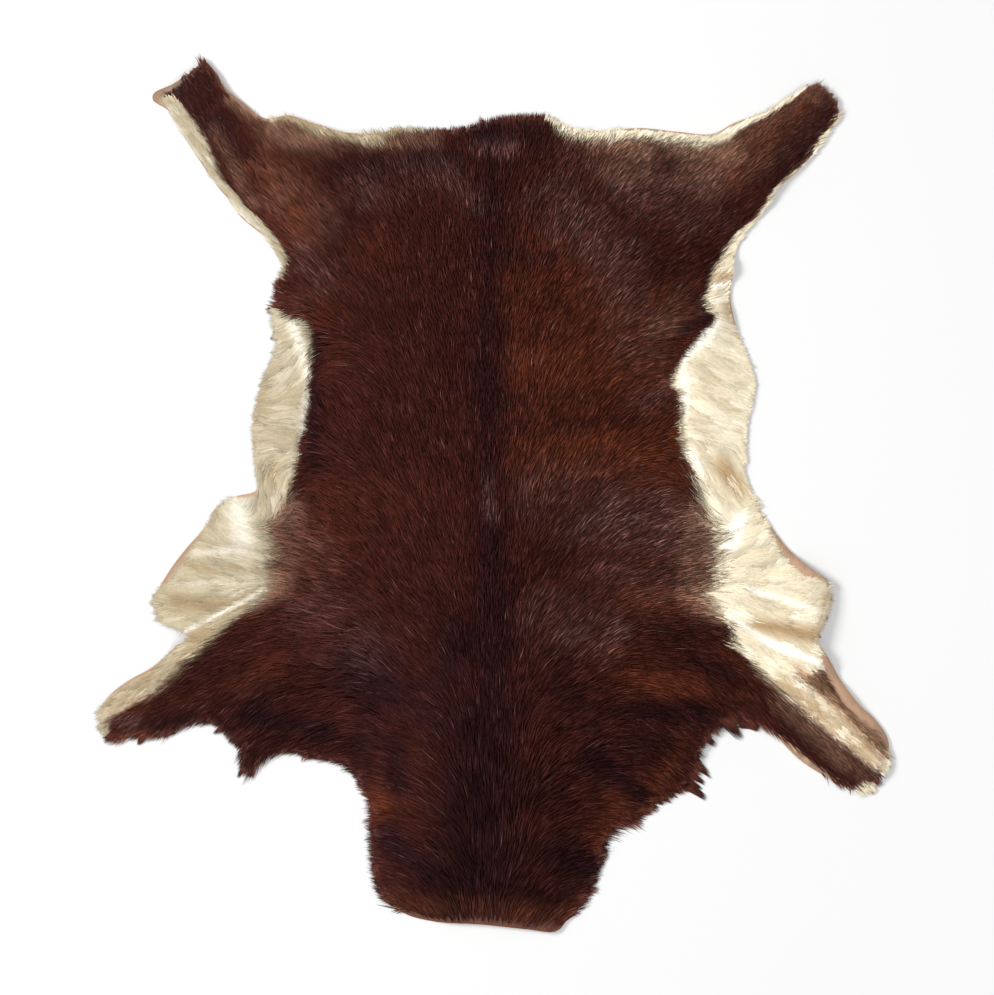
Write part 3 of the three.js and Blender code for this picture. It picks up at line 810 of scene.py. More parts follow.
def hair_tint(chart, xy, lot, luck, pale_share=0.0):
    """Colour of the hair rooted at each point, with painted shade, sheen and highlights in it. lot is a
    number for each lock, and luck for each hair.

    Away from the soft borders, no less than pale_share of it is cream.
    """
    colours = bpy.context.scene.goatskin_colours
    named = {name: np.array(getattr(colours, name)) for name in GoatskinColours.__annotations__}
    drift = plane_noise(xy, *DRIFT_NOISE)
    fine = 0.5 + 0.5 * plane_noise(xy, *FINE_NOISE)
    cloudy = 0.3 + 0.7 * smooth_step(plane_noise(xy, *CLOUD_NOISE), -0.8, 0.6)
    marked = {name: chart.read(name, xy) for name in (*DEPTH_STRIPS, *FADING_STRIPS)}
    # painted sheen: a share of the strands is greyed where the strips lie, and a few strands everywhere
    painted_sheen_share = marked["painted_sheen"] * cloudy * (0.12 + 0.7 * smooth_step(luck, 0.45, 0.95))
    streaky = smooth_step(marked["dark"], -4 * MM, 3 * MM) * (0.6 + 0.4 * luck)
    brown = np.broadcast_to(named["chestnut"], (len(xy), 3))
    for name, share in (
        ("russet", marked["russet"] * (0.4 + 0.6 * fine)),
        ("russet", 0.3 * smooth_step(drift, 0, 1)),
        ("spine", marked["spine"] * (0.75 + 0.25 * fine)),
        ("spine", 0.3 * smooth_step(-drift, 0.2, 1)),
        ("spine", 0.75 * marked["shade"]),
        ("painted_sheen", painted_sheen_share + (1 - painted_sheen_share) * 0.3 * smooth_step(luck, 0.96, 1)),
        ("fawn", marked["fawn"] * cloudy * (0.6 + 0.4 * luck)),
        ("roots", (0.1 + 0.3 * luck) * smooth_step(marked["roots"], -8 * MM, 8 * MM)),
        ("umber", streaky),
    ):
        brown = mixed(brown, named[name], share)
    # Painted light on the cream: on the left it takes more tan, a dimmer tint and less ivory as painted
    # shade; darker locks take tan as painted shade and lighter locks ivory as painted highlight
    left = smooth_step(-xy[:, 0], -20 * MM, 20 * MM)
    tuft = 0.6 * lot + 0.4 * luck
    pale = np.broadcast_to(named["cream"], (len(xy), 3))
    for share in (0.35 * smooth_step(0.5 - tuft, 0, 0.5), 0.5 * left, marked["tan"]):
        pale = mixed(pale, named["tan"], share)
    pale = mixed(pale, pale * named["dusk"], left)
    for share in ((0.5 - 0.3 * left) * smooth_step(tuft, 0.55, 1), marked["ivory_highlight"]):
        pale = mixed(pale, named["ivory_highlight"], share)
    share = cream_share(chart, xy)
    soft = marked["soft"]
    spread = (0.5 - 0.3 * soft) * (luck - 0.5) * (1 - np.abs(2 * share - 1))
    share = np.maximum(smooth_step(share + spread, 0.1, 0.9), pale_share * (1 - smooth_step(soft, 0, 0.4)))
    pale = mixed(pale, named["fawn"], 0.8 * soft * smooth_step(1 - share, 0.1, 0.8))
    return mixed(brown, pale, share * (1 - 0.85 * streaky))


# Strands of hair as one joined mesh


class Growth(NamedTuple):
    """How one kind of hair grows."""

    seed: int
    width: float
    bends: tuple = (0.0, 0.5)  # shares of the length at which a strand has a ring of points
    length: float = 1.0  # share of the combed length
    rise: float = 0.9  # share of the loose coat's depth that the tips reach
    droop: float = 0.4  # how much of that they lose again at the tip
    gather: float = 0.0  # how much the tips draw together in their lock
    stray: float = 0.2  # how far strands turn from the lie of the hair, in radians
    wave: float = 0.0  # sideways swing of a lock
    shade: float = 0.55  # brightness at the root, against the tip
    flat: float = 0.7  # thickness of a strand, against its width
    pale: float = 0.0  # least share of cream in its colour
    sheen: float = 0.0  # how far its shading follows the rounded lock rather than the single strand
    # painted glow: light shining through thin brown tips, painted as fawn
    fade: float = 0.0  # how far brown tips pale to fawn


def scattered_roots(chart, pitch, seed):
    """Evenly scattered points on the hide, leaving out bare skin."""
    draw = np.random.default_rng(seed)
    low, high = chart.points.min(axis=0), chart.points.max(axis=0)
    count = ((high - low) / pitch).astype(int)
    cells = np.stack(np.indices(count), axis=-1).reshape(-1, 2)
    roots = low + (cells + draw.uniform(0, 1, cells.shape)) * pitch
    roots = roots[chart.read("inward", roots) > ROOT_INSET]
    return roots[draw.uniform(*BARE_CUT, len(roots)) > bare_share(chart, roots)]


def limited(root, way, length, excess):
    """Lengths cut short where excess, a function of the tips, finds them past a limit."""
    for _ in range(2):
        past = excess(root + way * length[:, None])
        length = np.where(past > 0, np.maximum(length - CUT_BACK * past, SHORTEST_HAIR), length)
    return length


def rim_limit(chart, root, way, length, slack):
    """Lengths cut short so that tips pass the rim by no more than the lock there allows."""
    return limited(
        root, way, length, lambda tip: -chart.read("inward", tip) - chart.read("lock", tip) * slack
    )


def marking_limit(chart, name, root, way, length, slack):
    """Lengths cut short so that hair from outside a marking reaches over it no further than the slack."""
    outside = chart.read(name, root) < WELL_INSIDE
    return limited(root, way, length, lambda tip: np.where(outside, chart.read(name, tip) - slack, 0))


def own_lock(chart, root):
    """The middle of each root's lock and the lock's number. Long hair gathers in larger locks."""
    sizes = bpy.context.scene.goatskin_sizes
    middle, lot = nearest_lock(root, sizes.lock_pitch, LOCK_SEED)
    long_middle, long_lot = nearest_lock(root, sizes.long_lock_pitch, LONG_LOCK_SEED)
    long = chart.read("length", root) > LONG_HAIR
    return np.where(long[:, None], long_middle, middle), np.where(long, long_lot, lot)


def strand_paths(chart, root, growth, length=None, way=None):
    """Points along each strand from root to tip, its lock's number and its place across the lock."""
    draw = np.random.default_rng(growth.seed)
    count = len(root)
    middle, lot = own_lock(chart, root)
    way = chart.way(root) if way is None else way
    turn = growth.stray * (0.6 * plane_noise(root, STRAY_SIZE, growth.seed) + 0.5 * draw.normal(0, 1, count))
    calm = np.ones(count)
    if length is None:
        calm = 0.3 + 0.7 * smooth_step(chart.read("inward", root), 4 * MM, 26 * MM)
        length = chart.read("length", root) * growth.length * draw.uniform(*LENGTH_RANGE, count)
        length = rim_limit(chart, root, way, length, draw.uniform(*RIM_SLACK, count))
        if growth.pale == 0:
            slack = draw.uniform(*CREAM_SLACK, count) * MM + 40 * MM * chart.read("soft", root)
            length = marking_limit(chart, "cream", root, way, length, slack)
        slack = draw.uniform(*BARE_SLACK, count) * MM
        length = marking_limit(chart, "bare", root, way, length, slack)
    side = np.stack((-way[:, 1], way[:, 0]), axis=1)
    across = ((root - middle) * side).sum(axis=1)
    across = np.clip(across / (0.5 * bpy.context.scene.goatskin_sizes.long_lock_pitch), -1, 1)
    heading = way * np.cos(turn)[:, None] + side * np.sin(turn)[:, None]
    high = growth.rise * draw.uniform(*RISE_RANGE, count)
    high = high * (1 - growth.sheen * (0.8 * across**2 - 0.3))
    swing = growth.wave * calm * np.sin(2 * np.pi * (lot + 0.15 * draw.uniform(0, 1, count)))
    shares = (*growth.bends, 1.0)
    place, reached = root.copy(), 0.0
    path = []
    for share in shares:
        if share > reached:
            flow = heading if reached == 0 else 0.5 * heading + 0.5 * chart.way(place)
            place = place + flow * ((share - reached) * length)[:, None]
            reached = share
        drawn = place + (growth.gather * share**1.5 * calm)[:, None] * (middle - root)
        drawn = drawn + side * (swing * np.sin(2.4 * np.pi * share))[:, None]
        lift = (1 - (1 - share) ** 1.6) * (1 - growth.droop * share**2)
        height = chart.read("bed", drawn) + high * lift * chart.read("loose", drawn)
        height = height - (share == 0) * ROOT_DEPTH
        path.append(np.column_stack((drawn, np.maximum(height, LOWEST))))
    return np.stack(path, axis=1), lot, across


def strand_tints(chart, path, lot, growth):
    """Colours along each strand: darker at the root, and each strand a little its own.

    Brown strands have the colour of their middle. Cream ones take on the colours that they pass.
    """
    draw = np.random.default_rng(growth.seed + 1)
    luck, own = draw.uniform(0, 1, (2, len(path)))
    middle = path.mean(axis=1)
    fawn = np.array(bpy.context.scene.goatskin_colours.fawn)
    tints = []
    for knot, share in enumerate((*growth.bends, 1.0)):
        seen = path[:, knot] if growth.pale > 0 else middle
        even = cream_share(chart, seen)
        tint = hair_tint(chart, seen, lot, luck, growth.pale)
        # painted glow: brown tips pale towards fawn as light shines through them
        tint = mixed(tint, fawn, growth.fade * share**3 * (1 - even))
        tint = tint * (1 + (0.6 - 0.4 * even) * (own - 0.5))[:, None]
        tint = tint * (1 + (0.5 - 0.42 * even) * (lot - 0.5))[:, None]
        shade = growth.shade + (0.95 - growth.shade) * np.maximum(even, 0.8 * chart.read("fawn", seen))
        tints.append(tint * (shade + (1 - shade) * share**0.8)[:, None])
    return np.minimum(np.stack(tints, axis=1), BRIGHTEST)


def strand_mesh(name, path, growth, tints, across):
    """Closed three-sided strands joined in one mesh, each with its own cell of the bake map."""
    count, knots, _ = path.shape
    rings = knots - 1
    ahead = np.gradient(path, axis=1) if rings > 1 else np.repeat(path[:, 1:] - path[:, :1], 2, axis=1)
    ahead = ahead / np.maximum(np.linalg.norm(ahead, axis=2, keepdims=True), TINY)
    side = np.stack((-ahead[..., 1], ahead[..., 0], np.zeros_like(ahead[..., 0])), axis=2)
    side = side / np.maximum(np.linalg.norm(side, axis=2, keepdims=True), TINY)
    over = np.cross(ahead, side)
    draw = np.random.default_rng(growth.seed + 2)
    half = 0.5 * growth.width * draw.uniform(*WIDTH_RANGE, count)
    taper = np.array([1.0, *(1.15 - share**2 for share in growth.bends[1:])])
    lean = over + 0.7 * across[:, None, None] * side
    corners, facings = [], []
    for angle in CORNERS:
        spoke = np.cos(angle) * side[:, :rings] + growth.flat * np.sin(angle) * over[:, :rings]
        corners.append(path[:, :rings] + spoke * half[:, None, None] * taper[None, :, None])
        facings.append(growth.sheen * lean[:, :rings] + (1 - growth.sheen) * spoke)
    ring_points = np.stack(corners, axis=2).reshape(count, rings * 3, 3)
    points = np.concatenate((ring_points, path[:, -1:]), axis=1)
    per_strand = rings * 3 + 1
    faces, cells = strand_faces(rings, (*growth.bends, 1.0))
    all_faces = (faces[None] + per_strand * np.arange(count)[:, None, None]).reshape(-1, 3)
    colours = np.concatenate((np.repeat(tints[:, :rings], 3, axis=1), tints[:, -1:]), axis=1)
    piece = mesh_piece(name, points.reshape(-1, 3), all_faces)
    paint_points(piece, colours.reshape(-1, 3))
    map_strands(piece, count, cells)
    if growth.sheen > 0:
        ring_facings = np.stack(facings, axis=2).reshape(count, rings * 3, 3)
        facing = np.concatenate((ring_facings, lean[:, -1:]), axis=1)
        facing = facing / np.linalg.norm(facing, axis=2, keepdims=True)
        piece.data.normals_split_custom_set_from_vertices(facing.reshape(-1, 3).tolist())
    return piece


def strand_faces(rings, shares):
    """Corner numbers of one strand's triangles, and each corner's place in the strand's map cell."""
    tip = rings * 3
    left, middle, right = MAP_ACROSS
    faces = [(0, 2, 1)]
    cells = [((left, 0.0), (right, 0.0), (middle, 0.08))]
    for ring in range(rings):
        low, high = (0.1 + 0.85 * share for share in shares[ring : ring + 2])
        for here in range(3):
            there = (here + 1) % 3
            a, b = ring * 3 + here, ring * 3 + there
            if ring == rings - 1:
                faces.append((a, b, tip))
                cells.append(((left, low), (right, low), (middle, high)))
            else:
                faces += [(a, b, b + 3), (a, b + 3, a + 3)]
                cells.append(((left, low), (right, low), (right, high)))
                cells.append(((left, low), (right, high), (left, high)))
    return np.array(faces), np.array(cells)


def map_strands(piece, count, cells):
    """Gives each strand a small cell of its own in the map that finishes are baked through."""
    columns = int(np.ceil(np.sqrt(count * MAP_SHAPE)))
    rows = int(np.ceil(count / columns))
    corner = np.stack((np.arange(count) % columns, np.arange(count) // columns), axis=1)
    places = (corner[:, None, None, :] + cells[None]) / np.array((columns, rows))
    layer = piece.data.uv_layers.new(name="OFBake")
    layer.data.foreach_set("uv", places.astype(np.float32).ravel())


def mesh_piece(name, points, faces):
    """A piece of joined triangles, smooth shaded."""
    mesh = bpy.data.meshes.new(name)
    mesh.vertices.add(len(points))
    mesh.vertices.foreach_set("co", points.astype(np.float32).ravel())
    mesh.loops.add(faces.size)
    mesh.loops.foreach_set("vertex_index", faces.astype(np.int32).ravel())
    mesh.polygons.add(len(faces))
    mesh.polygons.foreach_set("loop_start", np.arange(0, faces.size, 3, dtype=np.int32))
    mesh.update(calc_edges=True)
    mesh.shade_smooth()
    piece = bpy.data.objects.new(name, mesh)
    bpy.context.scene.collection.objects.link(piece)
    return piece


def paint_points(piece, colours):
    """Keeps a colour for each point of a piece."""
    layer = piece.data.color_attributes.new(name=TINT, type="FLOAT_COLOR", domain="POINT")
    rgba = np.column_stack((colours, np.ones(len(colours))))
    layer.data.foreach_set("color", rgba.astype(np.float32).ravel())


def grow(name, chart, root, growth, **fixed):
    """Grows one piece of hair from its roots and lets it ride with the hide."""
    path, lot, across = strand_paths(chart, root, growth, **fixed)
    tints = strand_tints(chart, path[..., :2], lot, growth)
    piece = strand_mesh(name, path, growth, tints, across)
    piece.data.materials.append(hair_finish())
    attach(piece, BODY)
    return piece


# Finishes


class Wire:
    """A shader socket that Python's operators add Math nodes to."""

    def __init__(self, shader, socket):
        self.shader = shader
        self.socket = socket

    def maths(self, operation, *values):
        return self.shader.node("ShaderNodeMath", {"operation": operation}, dict(enumerate(values)))

    def __add__(self, other):
        return self.maths("ADD", self, other)

    __radd__ = __add__

    def __mul__(self, other):
        return self.maths("MULTIPLY", self, other)

    __rmul__ = __mul__


class Shader:
    """A new material whose nodes are added one expression at a time."""

    def __init__(self, name):
        self.material = bpy.data.materials.new(name)
        self.material.use_nodes = True
        self.tree = self.material.node_tree
        self.surface = self.tree.nodes["Principled BSDF"]

    def plug(self, socket, value):
        if isinstance(value, Wire):
            self.tree.links.new(value.socket, socket)
        else:
            socket.default_value = value

    def node(self, kind, settings=None, inputs=None, output=0):
        """Adds a node: its settings first, then the values or links of its sockets."""
        made = self.tree.nodes.new(kind)
        for name, value in (settings or {}).items():
            setattr(made, name, value)
        for key, value in (inputs or {}).items():
            self.plug(made.inputs[key], value)
        return Wire(self, made.outputs[output])

    def noise(self, scale, detail=3.0, roughness=0.55):
        place = self.node("ShaderNodeTexCoord", output="Object")
        sockets = {"Vector": place, "Scale": scale, "Detail": detail, "Roughness": roughness}
        return self.node("ShaderNodeTexNoise", None, sockets, output="Fac")

    def painted(self):
        """The colours that paint_points keeps on a piece."""
        return self.node("ShaderNodeAttribute", {"attribute_name": TINT}, output="Color")

    def blend(self, share, one, other):
        """Mixes two colours by a share."""
        return self.node("ShaderNodeMix", {"data_type": "RGBA"}, {0: share, 6: one, 7: other}, output=2)

    def scaled(self, colour, factor):
        """A colour made brighter or darker by a factor."""
        sockets = {0: colour, "Scale": factor}
        return self.node("ShaderNodeVectorMath", {"operation": "SCALE"}, sockets, output="Vector")

    def bump(self, height, distance, strength):
        sockets = {"Height": height, "Distance": distance, "Strength": strength}
        return self.node("ShaderNodeBump", None, sockets, output="Normal")

    def finish(self, **sockets):
        for name, value in sockets.items():
            self.plug(self.surface.inputs[name.replace("_", " ").title()], value)
        return self.material


def hair_finish():
    """Glossy goat hair in the colours painted on its strands."""
    name = "goat_hair"
    if name in bpy.data.materials:
        return bpy.data.materials[name]
    shader = Shader(name)
    shader.surface.inputs["Specular IOR Level"].default_value = 0.1
    shader.surface.inputs["Specular Tint"].default_value = (1, 0.72, 0.62, 1)
    streak = shader.noise(260.0)
    colour = shader.scaled(shader.painted(), 0.85 + 0.3 * streak)
    return shader.finish(base_color=colour, roughness=0.38 + 0.2 * streak)


def hair_side_finish():
    """The skin's upper face: short wool in the coat's colours, and bare skin along the rim."""
    shader = Shader("hair_side")
    fuzz = shader.noise(900.0, 4.0, 0.7)
    pores = shader.noise(2200.0, 2.0, 0.6)
    colour = shader.scaled(shader.painted(), 0.6 + 0.8 * fuzz)
    relief = shader.bump(fuzz + 0.4 * pores, 0.0012, 0.8)
    return shader.finish(base_color=colour, roughness=0.6 + 0.25 * fuzz, normal=relief)


def flesh_side_finish():
    """The suede underside: napped, cloudy and faintly veined."""
    shader = Shader("flesh_side")
    flesh = (*bpy.context.scene.goatskin_colours.flesh, 1)
    pale = (*tone(232, 212, 184), 1)
    cloud = shader.noise(9.0, 5.0, 0.6)
    nap = shader.noise(1400.0, 3.0, 0.65)
    colour = shader.scaled(shader.blend(cloud, flesh, pale), 0.85 + 0.3 * nap)
    relief = shader.bump(nap, 0.0006, 0.6)
    return shader.finish(base_color=colour, roughness=0.8 + 0.15 * nap, normal=relief)


def floor_finish():
    """A plain, matt, pale floor."""
    shader = Shader("pale_floor")
    shade = shader.noise(3.0)
    floor = bpy.context.scene.goatskin_stage.floor
    colour = shader.scaled(tuple(floor), 0.995 + 0.01 * shade)
    return shader.finish(base_color=colour, roughness=0.9)


# Pieces


def select_only(piece):
    bpy.ops.object.select_all(action="DESELECT")
    piece.select_set(True)
    bpy.context.view_layer.objects.active = piece


def flat_hide(chart, pitch):
    """The cut hide as a flat mesh of even triangles inside the rim."""
    rim = chart.rim[::EDGE_STRIDE, :2]
    rows = np.arange(chart.points[:, 1].min(), chart.points[:, 1].max(), pitch * np.sqrt(0.75))
    across = np.arange(chart.points[:, 0].min(), chart.points[:, 0].max(), pitch)
    inner = []
    for number, y in enumerate(rows):
        shift = 0.5 * pitch * (number % 2)
        inner.append(np.column_stack((across + shift, np.full_like(across, y))))
    inner = np.concatenate(inner)
    inner = inner[chart.read("inward", inner) > POINT_INSET * pitch]
    points = [Vector(point) for point in np.concatenate((rim, inner))]
    edges = [(i, (i + 1) % len(rim)) for i in range(len(rim))]
    inside_only = 1
    placed, _, faces, *_ = delaunay_2d_cdt(points, edges, [], inside_only, CLOSE)
    return np.array([(*point, 0.0) for point in placed]), np.array(faces)


def piece_points(piece):
    """The points of a piece, a row for each."""
    points = np.zeros(len(piece.data.vertices) * 3)
    piece.data.vertices.foreach_get("co", points)
    return points.reshape(-1, 3)


class GOATSKIN_OT_lay_skin(bpy.types.Operator):
    """Cuts the skin to its outline, lays it in its folds and finishes both of its sides"""

    bl_idname = "goatskin.lay_skin"
    bl_label = "Lay the skin"

    def execute(self, context):
        chart = hide_chart()
        sizes = context.scene.goatskin_sizes
        points, faces = flat_hide(chart, sizes.skin_pitch)
        skin = mesh_piece("skin", points, faces)
        select_only(skin)
        bpy.ops.object.modifier_add(type="SOLIDIFY")
        thick = skin.modifiers["Solidify"]
        thick.thickness = sizes.skin_thickness
        thick.offset = 1
        bpy.ops.object.modifier_apply(modifier=thick.name)
        self.raise_folds(skin, chart)
        self.finish_sides(skin, chart, context.scene.goatskin_colours)
        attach(skin, BODY)
        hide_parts(HIDE_NODE)
        return {"FINISHED"}

    def raise_folds(self, skin, chart):
        points = piece_points(skin)
        upper = points[:, 2] > CLOSE
        points[:, 2] += chart.read("rise", points[:, :2])
        points[upper, 2] += chart.read("wool", points[upper, :2])
        skin.data.vertices.foreach_set("co", points.ravel())
        skin.data.update()

    def finish_sides(self, skin, chart, colours):
        xy = piece_points(skin)[:, :2]
        lot = own_lock(chart, xy)[1]
        # The wool is darkened to 0.72 of its hair's colour as painted shade under the strands, less where
        # the hair is cream
        wool = hair_tint(chart, xy, lot, lot) * (0.72 + 0.28 * cream_share(chart, xy))[:, None]
        # Bare skin is darkened where the shade strips lie, as painted shade
        bare = np.array(colours.bare) * (1 - 0.5 * chart.read("shade", xy))[:, None]
        bare = mixed(bare, np.array(colours.roots), smooth_step(chart.read("roots", xy), -8 * MM, 4 * MM))
        rim_skin = smooth_step(chart.read("inward", xy), 3 * MM, 0) * 0.6
        paint_points(skin, mixed(wool, bare, np.maximum(bare_share(chart, xy), rim_skin)))
        skin.data.materials.append(hair_side_finish())
        skin.data.materials.append(flesh_side_finish())
        below = [int(face.normal.z < FACE_DOWN) for face in skin.data.polygons]
        skin.data.polygons.foreach_set("material_index", below)
        skin.data.update()


def grow_brown(names, chart, growth, pitch, most_cream):
    """Grows a brown coat in two pieces, left and right of the spine, on roots that aren't too cream."""
    root = scattered_roots(chart, pitch, growth.seed)
    root = root[cream_share(chart, root) < most_cream]
    for name, part in zip(names, (root[root[:, 0] < 0], root[root[:, 0] >= 0])):
        grow(name, chart, part, growth)


class GOATSKIN_OT_grow_undercoat(bpy.types.Operator):
    """Grows the short dense hair under the brown parts of the coat"""

    bl_idname = "goatskin.grow_undercoat"
    bl_label = "Grow the undercoat"

    def execute(self, context):
        sizes = context.scene.goatskin_sizes
        growth = Growth(
            UNDERCOAT_SEED,
            sizes.undercoat_width,
            bends=(0.0,),
            length=0.85,
            rise=0.8,
            droop=0.0,
            gather=0.25,
            shade=0.45,
        )
        grow_brown(FUR_PIECES[0:2], hide_chart(), growth, sizes.undercoat_pitch, 0.6)
        return {"FINISHED"}


class GOATSKIN_OT_grow_topcoat(bpy.types.Operator):
    """Grows the longer brown guard hair of the back, the shoulders, the neck and the legs"""

    bl_idname = "goatskin.grow_topcoat"
    bl_label = "Grow the topcoat"

    def execute(self, context):
        sizes = context.scene.goatskin_sizes
        growth = Growth(
            TOPCOAT_SEED,
            sizes.topcoat_width,
            length=1.1,
            rise=1.0,
            droop=0.2,
            gather=0.45,
            stray=0.22,
            wave=0.8 * MM,
            shade=0.5,
        )
        grow_brown(FUR_PIECES[2:4], hide_chart(), growth, sizes.topcoat_pitch, 0.5)
        return {"FINISHED"}


class GOATSKIN_OT_grow_flank_hair(bpy.types.Operator):
    """Grows the long silky cream hair of the flanks, the belly and the leg strips"""

    bl_idname = "goatskin.grow_flank_hair"
    bl_label = "Grow the flank hair"

    def execute(self, context):
        chart = hide_chart()
        sizes = context.scene.goatskin_sizes
        growth = Growth(
            FLANK_SEED,
            sizes.flank_width,
            bends=(0.0, 0.35, 0.7),
            length=1.05,
            rise=0.6,
            gather=0.4,
            stray=0.07,
            wave=2.0 * MM,
            shade=0.9,
            flat=0.35,
            pale=1.0,
            sheen=0.8,
        )
        root = scattered_roots(chart, sizes.flank_pitch, growth.seed)
        root = root[cream_share(chart, root) >= 0.5]
        grow(FUR_PIECES[4], chart, root, growth)
        return {"FINISHED"}


class GOATSKIN_OT_grow_rim_hair(bpy.types.Operator):
    """Grows the fringe of locks that reaches past the cut edge"""

    bl_idname = "goatskin.grow_rim_hair"
    bl_label = "Grow the rim hair"

    def execute(self, context):
        chart = hide_chart()
        sizes = context.scene.goatskin_sizes
        growth = Growth(
            RIM_HAIR_SEED, sizes.topcoat_width, gather=0.6, stray=0.16, wave=0.5 * MM, sheen=0.5, fade=0.25
        )
        draw = np.random.default_rng(growth.seed)
        line = chart.rim[:, :2]
        ahead = np.roll(line, -1, axis=0) - line
        lengths = np.linalg.norm(ahead, axis=1)
        walked = np.concatenate(([0.0], np.cumsum(lengths)))
        stops = np.arange(0, walked[-1], sizes.rim_pitch)
        edge = np.searchsorted(walked, stops, side="right") - 1
        share = (stops - walked[edge]) / lengths[edge]
        outward = np.stack((-ahead[:, 1], ahead[:, 0]), axis=1)[edge] / lengths[edge][:, None]
        inset = draw.uniform(*RIM_INSET, len(stops)) * MM
        root = line[edge] + ahead[edge] * share[:, None] - outward * inset[:, None]
        way = chart.way(root) + OUTWARD_TURN * outward
        way = way / np.linalg.norm(way, axis=1)[:, None]
        facing = (way * outward).sum(axis=1)
        lot = own_lock(chart, root)[1]
        lock, bare = chart.rim[edge, 2], chart.rim[edge, 4]
        past = lock * (0.45 + 0.9 * lot) * draw.uniform(*RIM_HAIR_PAST, len(stops))
        length = np.clip((past + inset) / np.maximum(facing, 0.45), *RIM_HAIR_LENGTH)
        # None grows where hair lies inward, on bare skin or along a rim of short cream hair.
        kept = (facing > 0.1) & (lock > 1 * MM) & (chart.read("inward", root) > 0.3 * MM)
        kept &= bare < 4.5 * MM
        kept &= (lock > 3.5 * MM) | (cream_share(chart, root) < 0.5)
        grow(FUR_PIECES[5], chart, root[kept], growth, length=length[kept], way=way[kept])
        return {"FINISHED"}


class GOATSKIN_OT_grow_rim_locks(bpy.types.Operator):
    """Grows the pointed locks that stand out along the rim"""

    bl_idname = "goatskin.grow_rim_locks"
    bl_label = "Grow the rim locks"

    def execute(self, context):
        chart = hide_chart()
        width = context.scene.goatskin_sizes.topcoat_width
        growth = Growth(RIM_LOCK_SEED, width, bends=(0.0, 0.55), stray=0.04, fade=0.1)
        draw = np.random.default_rng(growth.seed)
        starts, ends = [], []
        for row in RIM_LOCKS:
            root, tip, half = np.array(row[0:2]) * MM, np.array(row[2:4]) * MM, row[4] * MM
            reach = np.linalg.norm(tip - root)
            ahead = (tip - root) / reach
            aside = np.array((-ahead[1], ahead[0]))
            across, back, short = draw.uniform(0, 1, (3, row[4] * LOCK_HAIRS, 1))
            across = 2 * across - 1
            starts.append(root + half * across * aside - half * back * ahead)
            shorter = reach * (0.2 + 0.5 * np.abs(across)) * short
            ends.append(tip + 0.12 * half * across * aside - shorter * ahead)
        root = np.concatenate(starts)
        way = np.concatenate(ends) - root
        length = np.linalg.norm(way, axis=1)
        grow(FUR_PIECES[6], chart, root, growth, length=length, way=way / length[:, None])
        return {"FINISHED"}


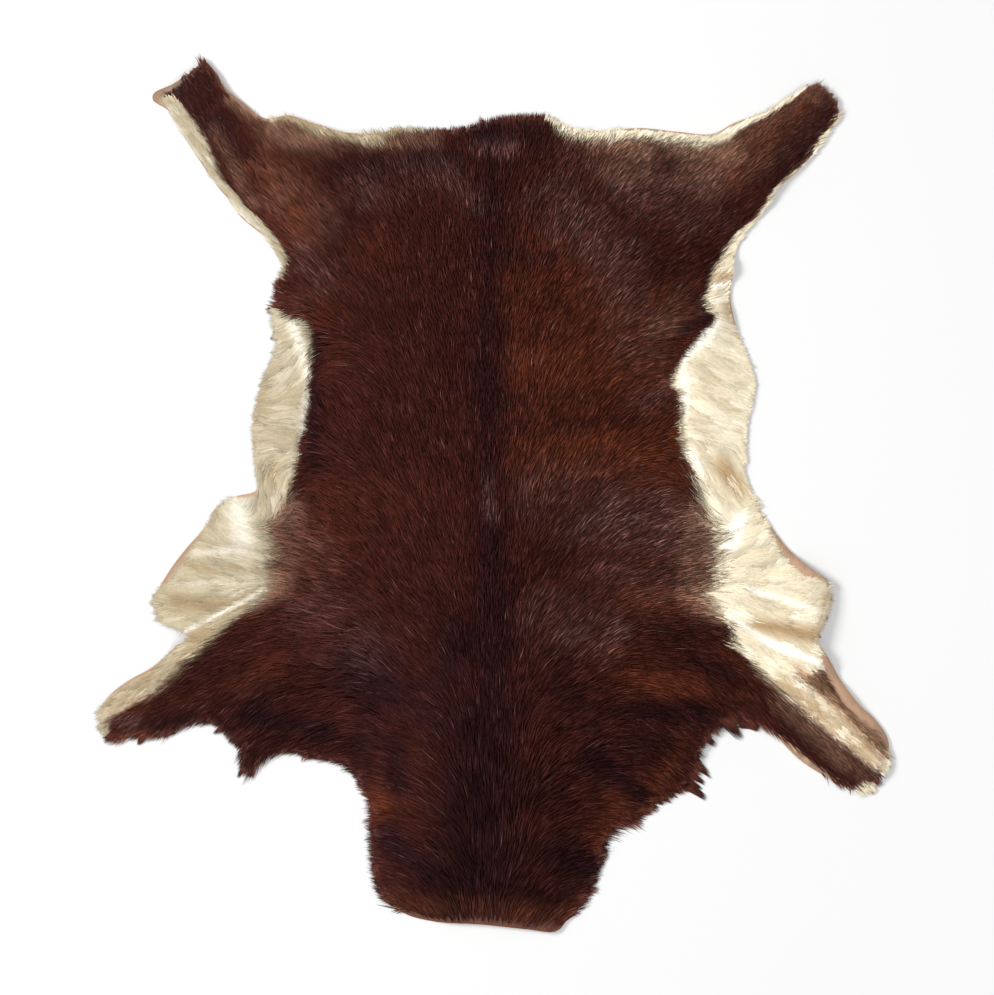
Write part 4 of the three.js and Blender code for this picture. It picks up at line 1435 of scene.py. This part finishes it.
class GOATSKIN_OT_set_stage(bpy.types.Operator):
    """Sets the pale floor, the soft lights and the camera straight above"""

    bl_idname = "goatskin.set_stage"
    bl_label = "Set the stage"

    def execute(self, context):
        stage = context.scene.goatskin_stage
        bpy.ops.object.select_all(action="DESELECT")
        bpy.ops.mesh.primitive_plane_add(size=stage.floor_size, location=(0, 0, -FLOOR_DROP))
        floor = context.active_object
        floor.name = "floor"
        bpy.ops.object.transform_apply(location=True, rotation=True, scale=True)
        floor.data.materials.append(floor_finish())
        self.add_light("key_light", KEY_PLACE, KEY_SIZE, stage.key_power)
        self.add_light("top_light", TOP_PLACE, TOP_SIZE, stage.top_power)
        self.light_sky(context.scene, stage.sky)
        self.add_camera(context, stage)
        context.scene.view_settings.view_transform = "Standard"
        return {"FINISHED"}

    def add_light(self, name, place, size, power):
        aim = (-Vector(place)).to_track_quat("-Z", "Y").to_euler()
        bpy.ops.object.light_add(type="AREA", location=place, rotation=aim)
        lamp = bpy.context.active_object
        lamp.name = name
        lamp.data.size = size
        lamp.data.energy = power

    def light_sky(self, scene, strength):
        sky = bpy.data.worlds.new("even_sky")
        sky.use_nodes = True
        background = sky.node_tree.nodes["Background"]
        background.inputs["Color"].default_value = (1, 1, 1, 1)
        background.inputs["Strength"].default_value = strength
        scene.world = sky

    def add_camera(self, context, stage):
        height = stage.view_size * stage.lens / SENSOR
        above = Vector(VIEW_MIDDLE) + Vector((0, 0, height))
        bpy.ops.object.camera_add(location=above, rotation=(0, 0, 0))
        camera = context.active_object
        camera.data.lens = stage.lens
        camera.data.sensor_width = SENSOR
        context.scene.camera = camera


class GOATSKIN_PT_panel(bpy.types.Panel):
    """Steps and settings of the goatskin"""

    bl_idname = "GOATSKIN_PT_panel"
    bl_label = "Goatskin"
    bl_space_type = "VIEW_3D"
    bl_region_type = "UI"
    bl_category = "Goatskin"

    def draw(self, context):
        for step in STEPS:
            self.layout.operator(step.bl_idname)
        for group in ("goatskin_sizes", "goatskin_colours", "goatskin_stage"):
            settings = getattr(context.scene, group)
            box = self.layout.box()
            for name in type(settings).__annotations__:
                box.prop(settings, name)


STEPS = (
    GOATSKIN_OT_set_stage,
    GOATSKIN_OT_grow_undercoat,
    GOATSKIN_OT_grow_topcoat,
    GOATSKIN_OT_grow_flank_hair,
    GOATSKIN_OT_grow_rim_hair,
    GOATSKIN_OT_grow_rim_locks,
    GOATSKIN_OT_lay_skin,
)
CLASSES = (GoatskinSizes, GoatskinColours, GoatskinStage, *STEPS, GOATSKIN_PT_panel)


def register():
    for made in CLASSES:
        bpy.utils.register_class(made)
    bpy.types.Scene.goatskin_sizes = PointerProperty(type=GoatskinSizes)
    bpy.types.Scene.goatskin_colours = PointerProperty(type=GoatskinColours)
    bpy.types.Scene.goatskin_stage = PointerProperty(type=GoatskinStage)


def unregister():
    del bpy.types.Scene.goatskin_stage
    del bpy.types.Scene.goatskin_colours
    del bpy.types.Scene.goatskin_sizes
    for made in reversed(CLASSES):
        bpy.utils.unregister_class(made)


def main():
    register()
    bpy.ops.goatskin.set_stage()
    bpy.ops.goatskin.grow_undercoat()
    bpy.ops.goatskin.grow_topcoat()
    bpy.ops.goatskin.grow_flank_hair()
    bpy.ops.goatskin.grow_rim_hair()
    bpy.ops.goatskin.grow_rim_locks()
    bpy.ops.goatskin.lay_skin()


if __name__ == "__main__":
    main()
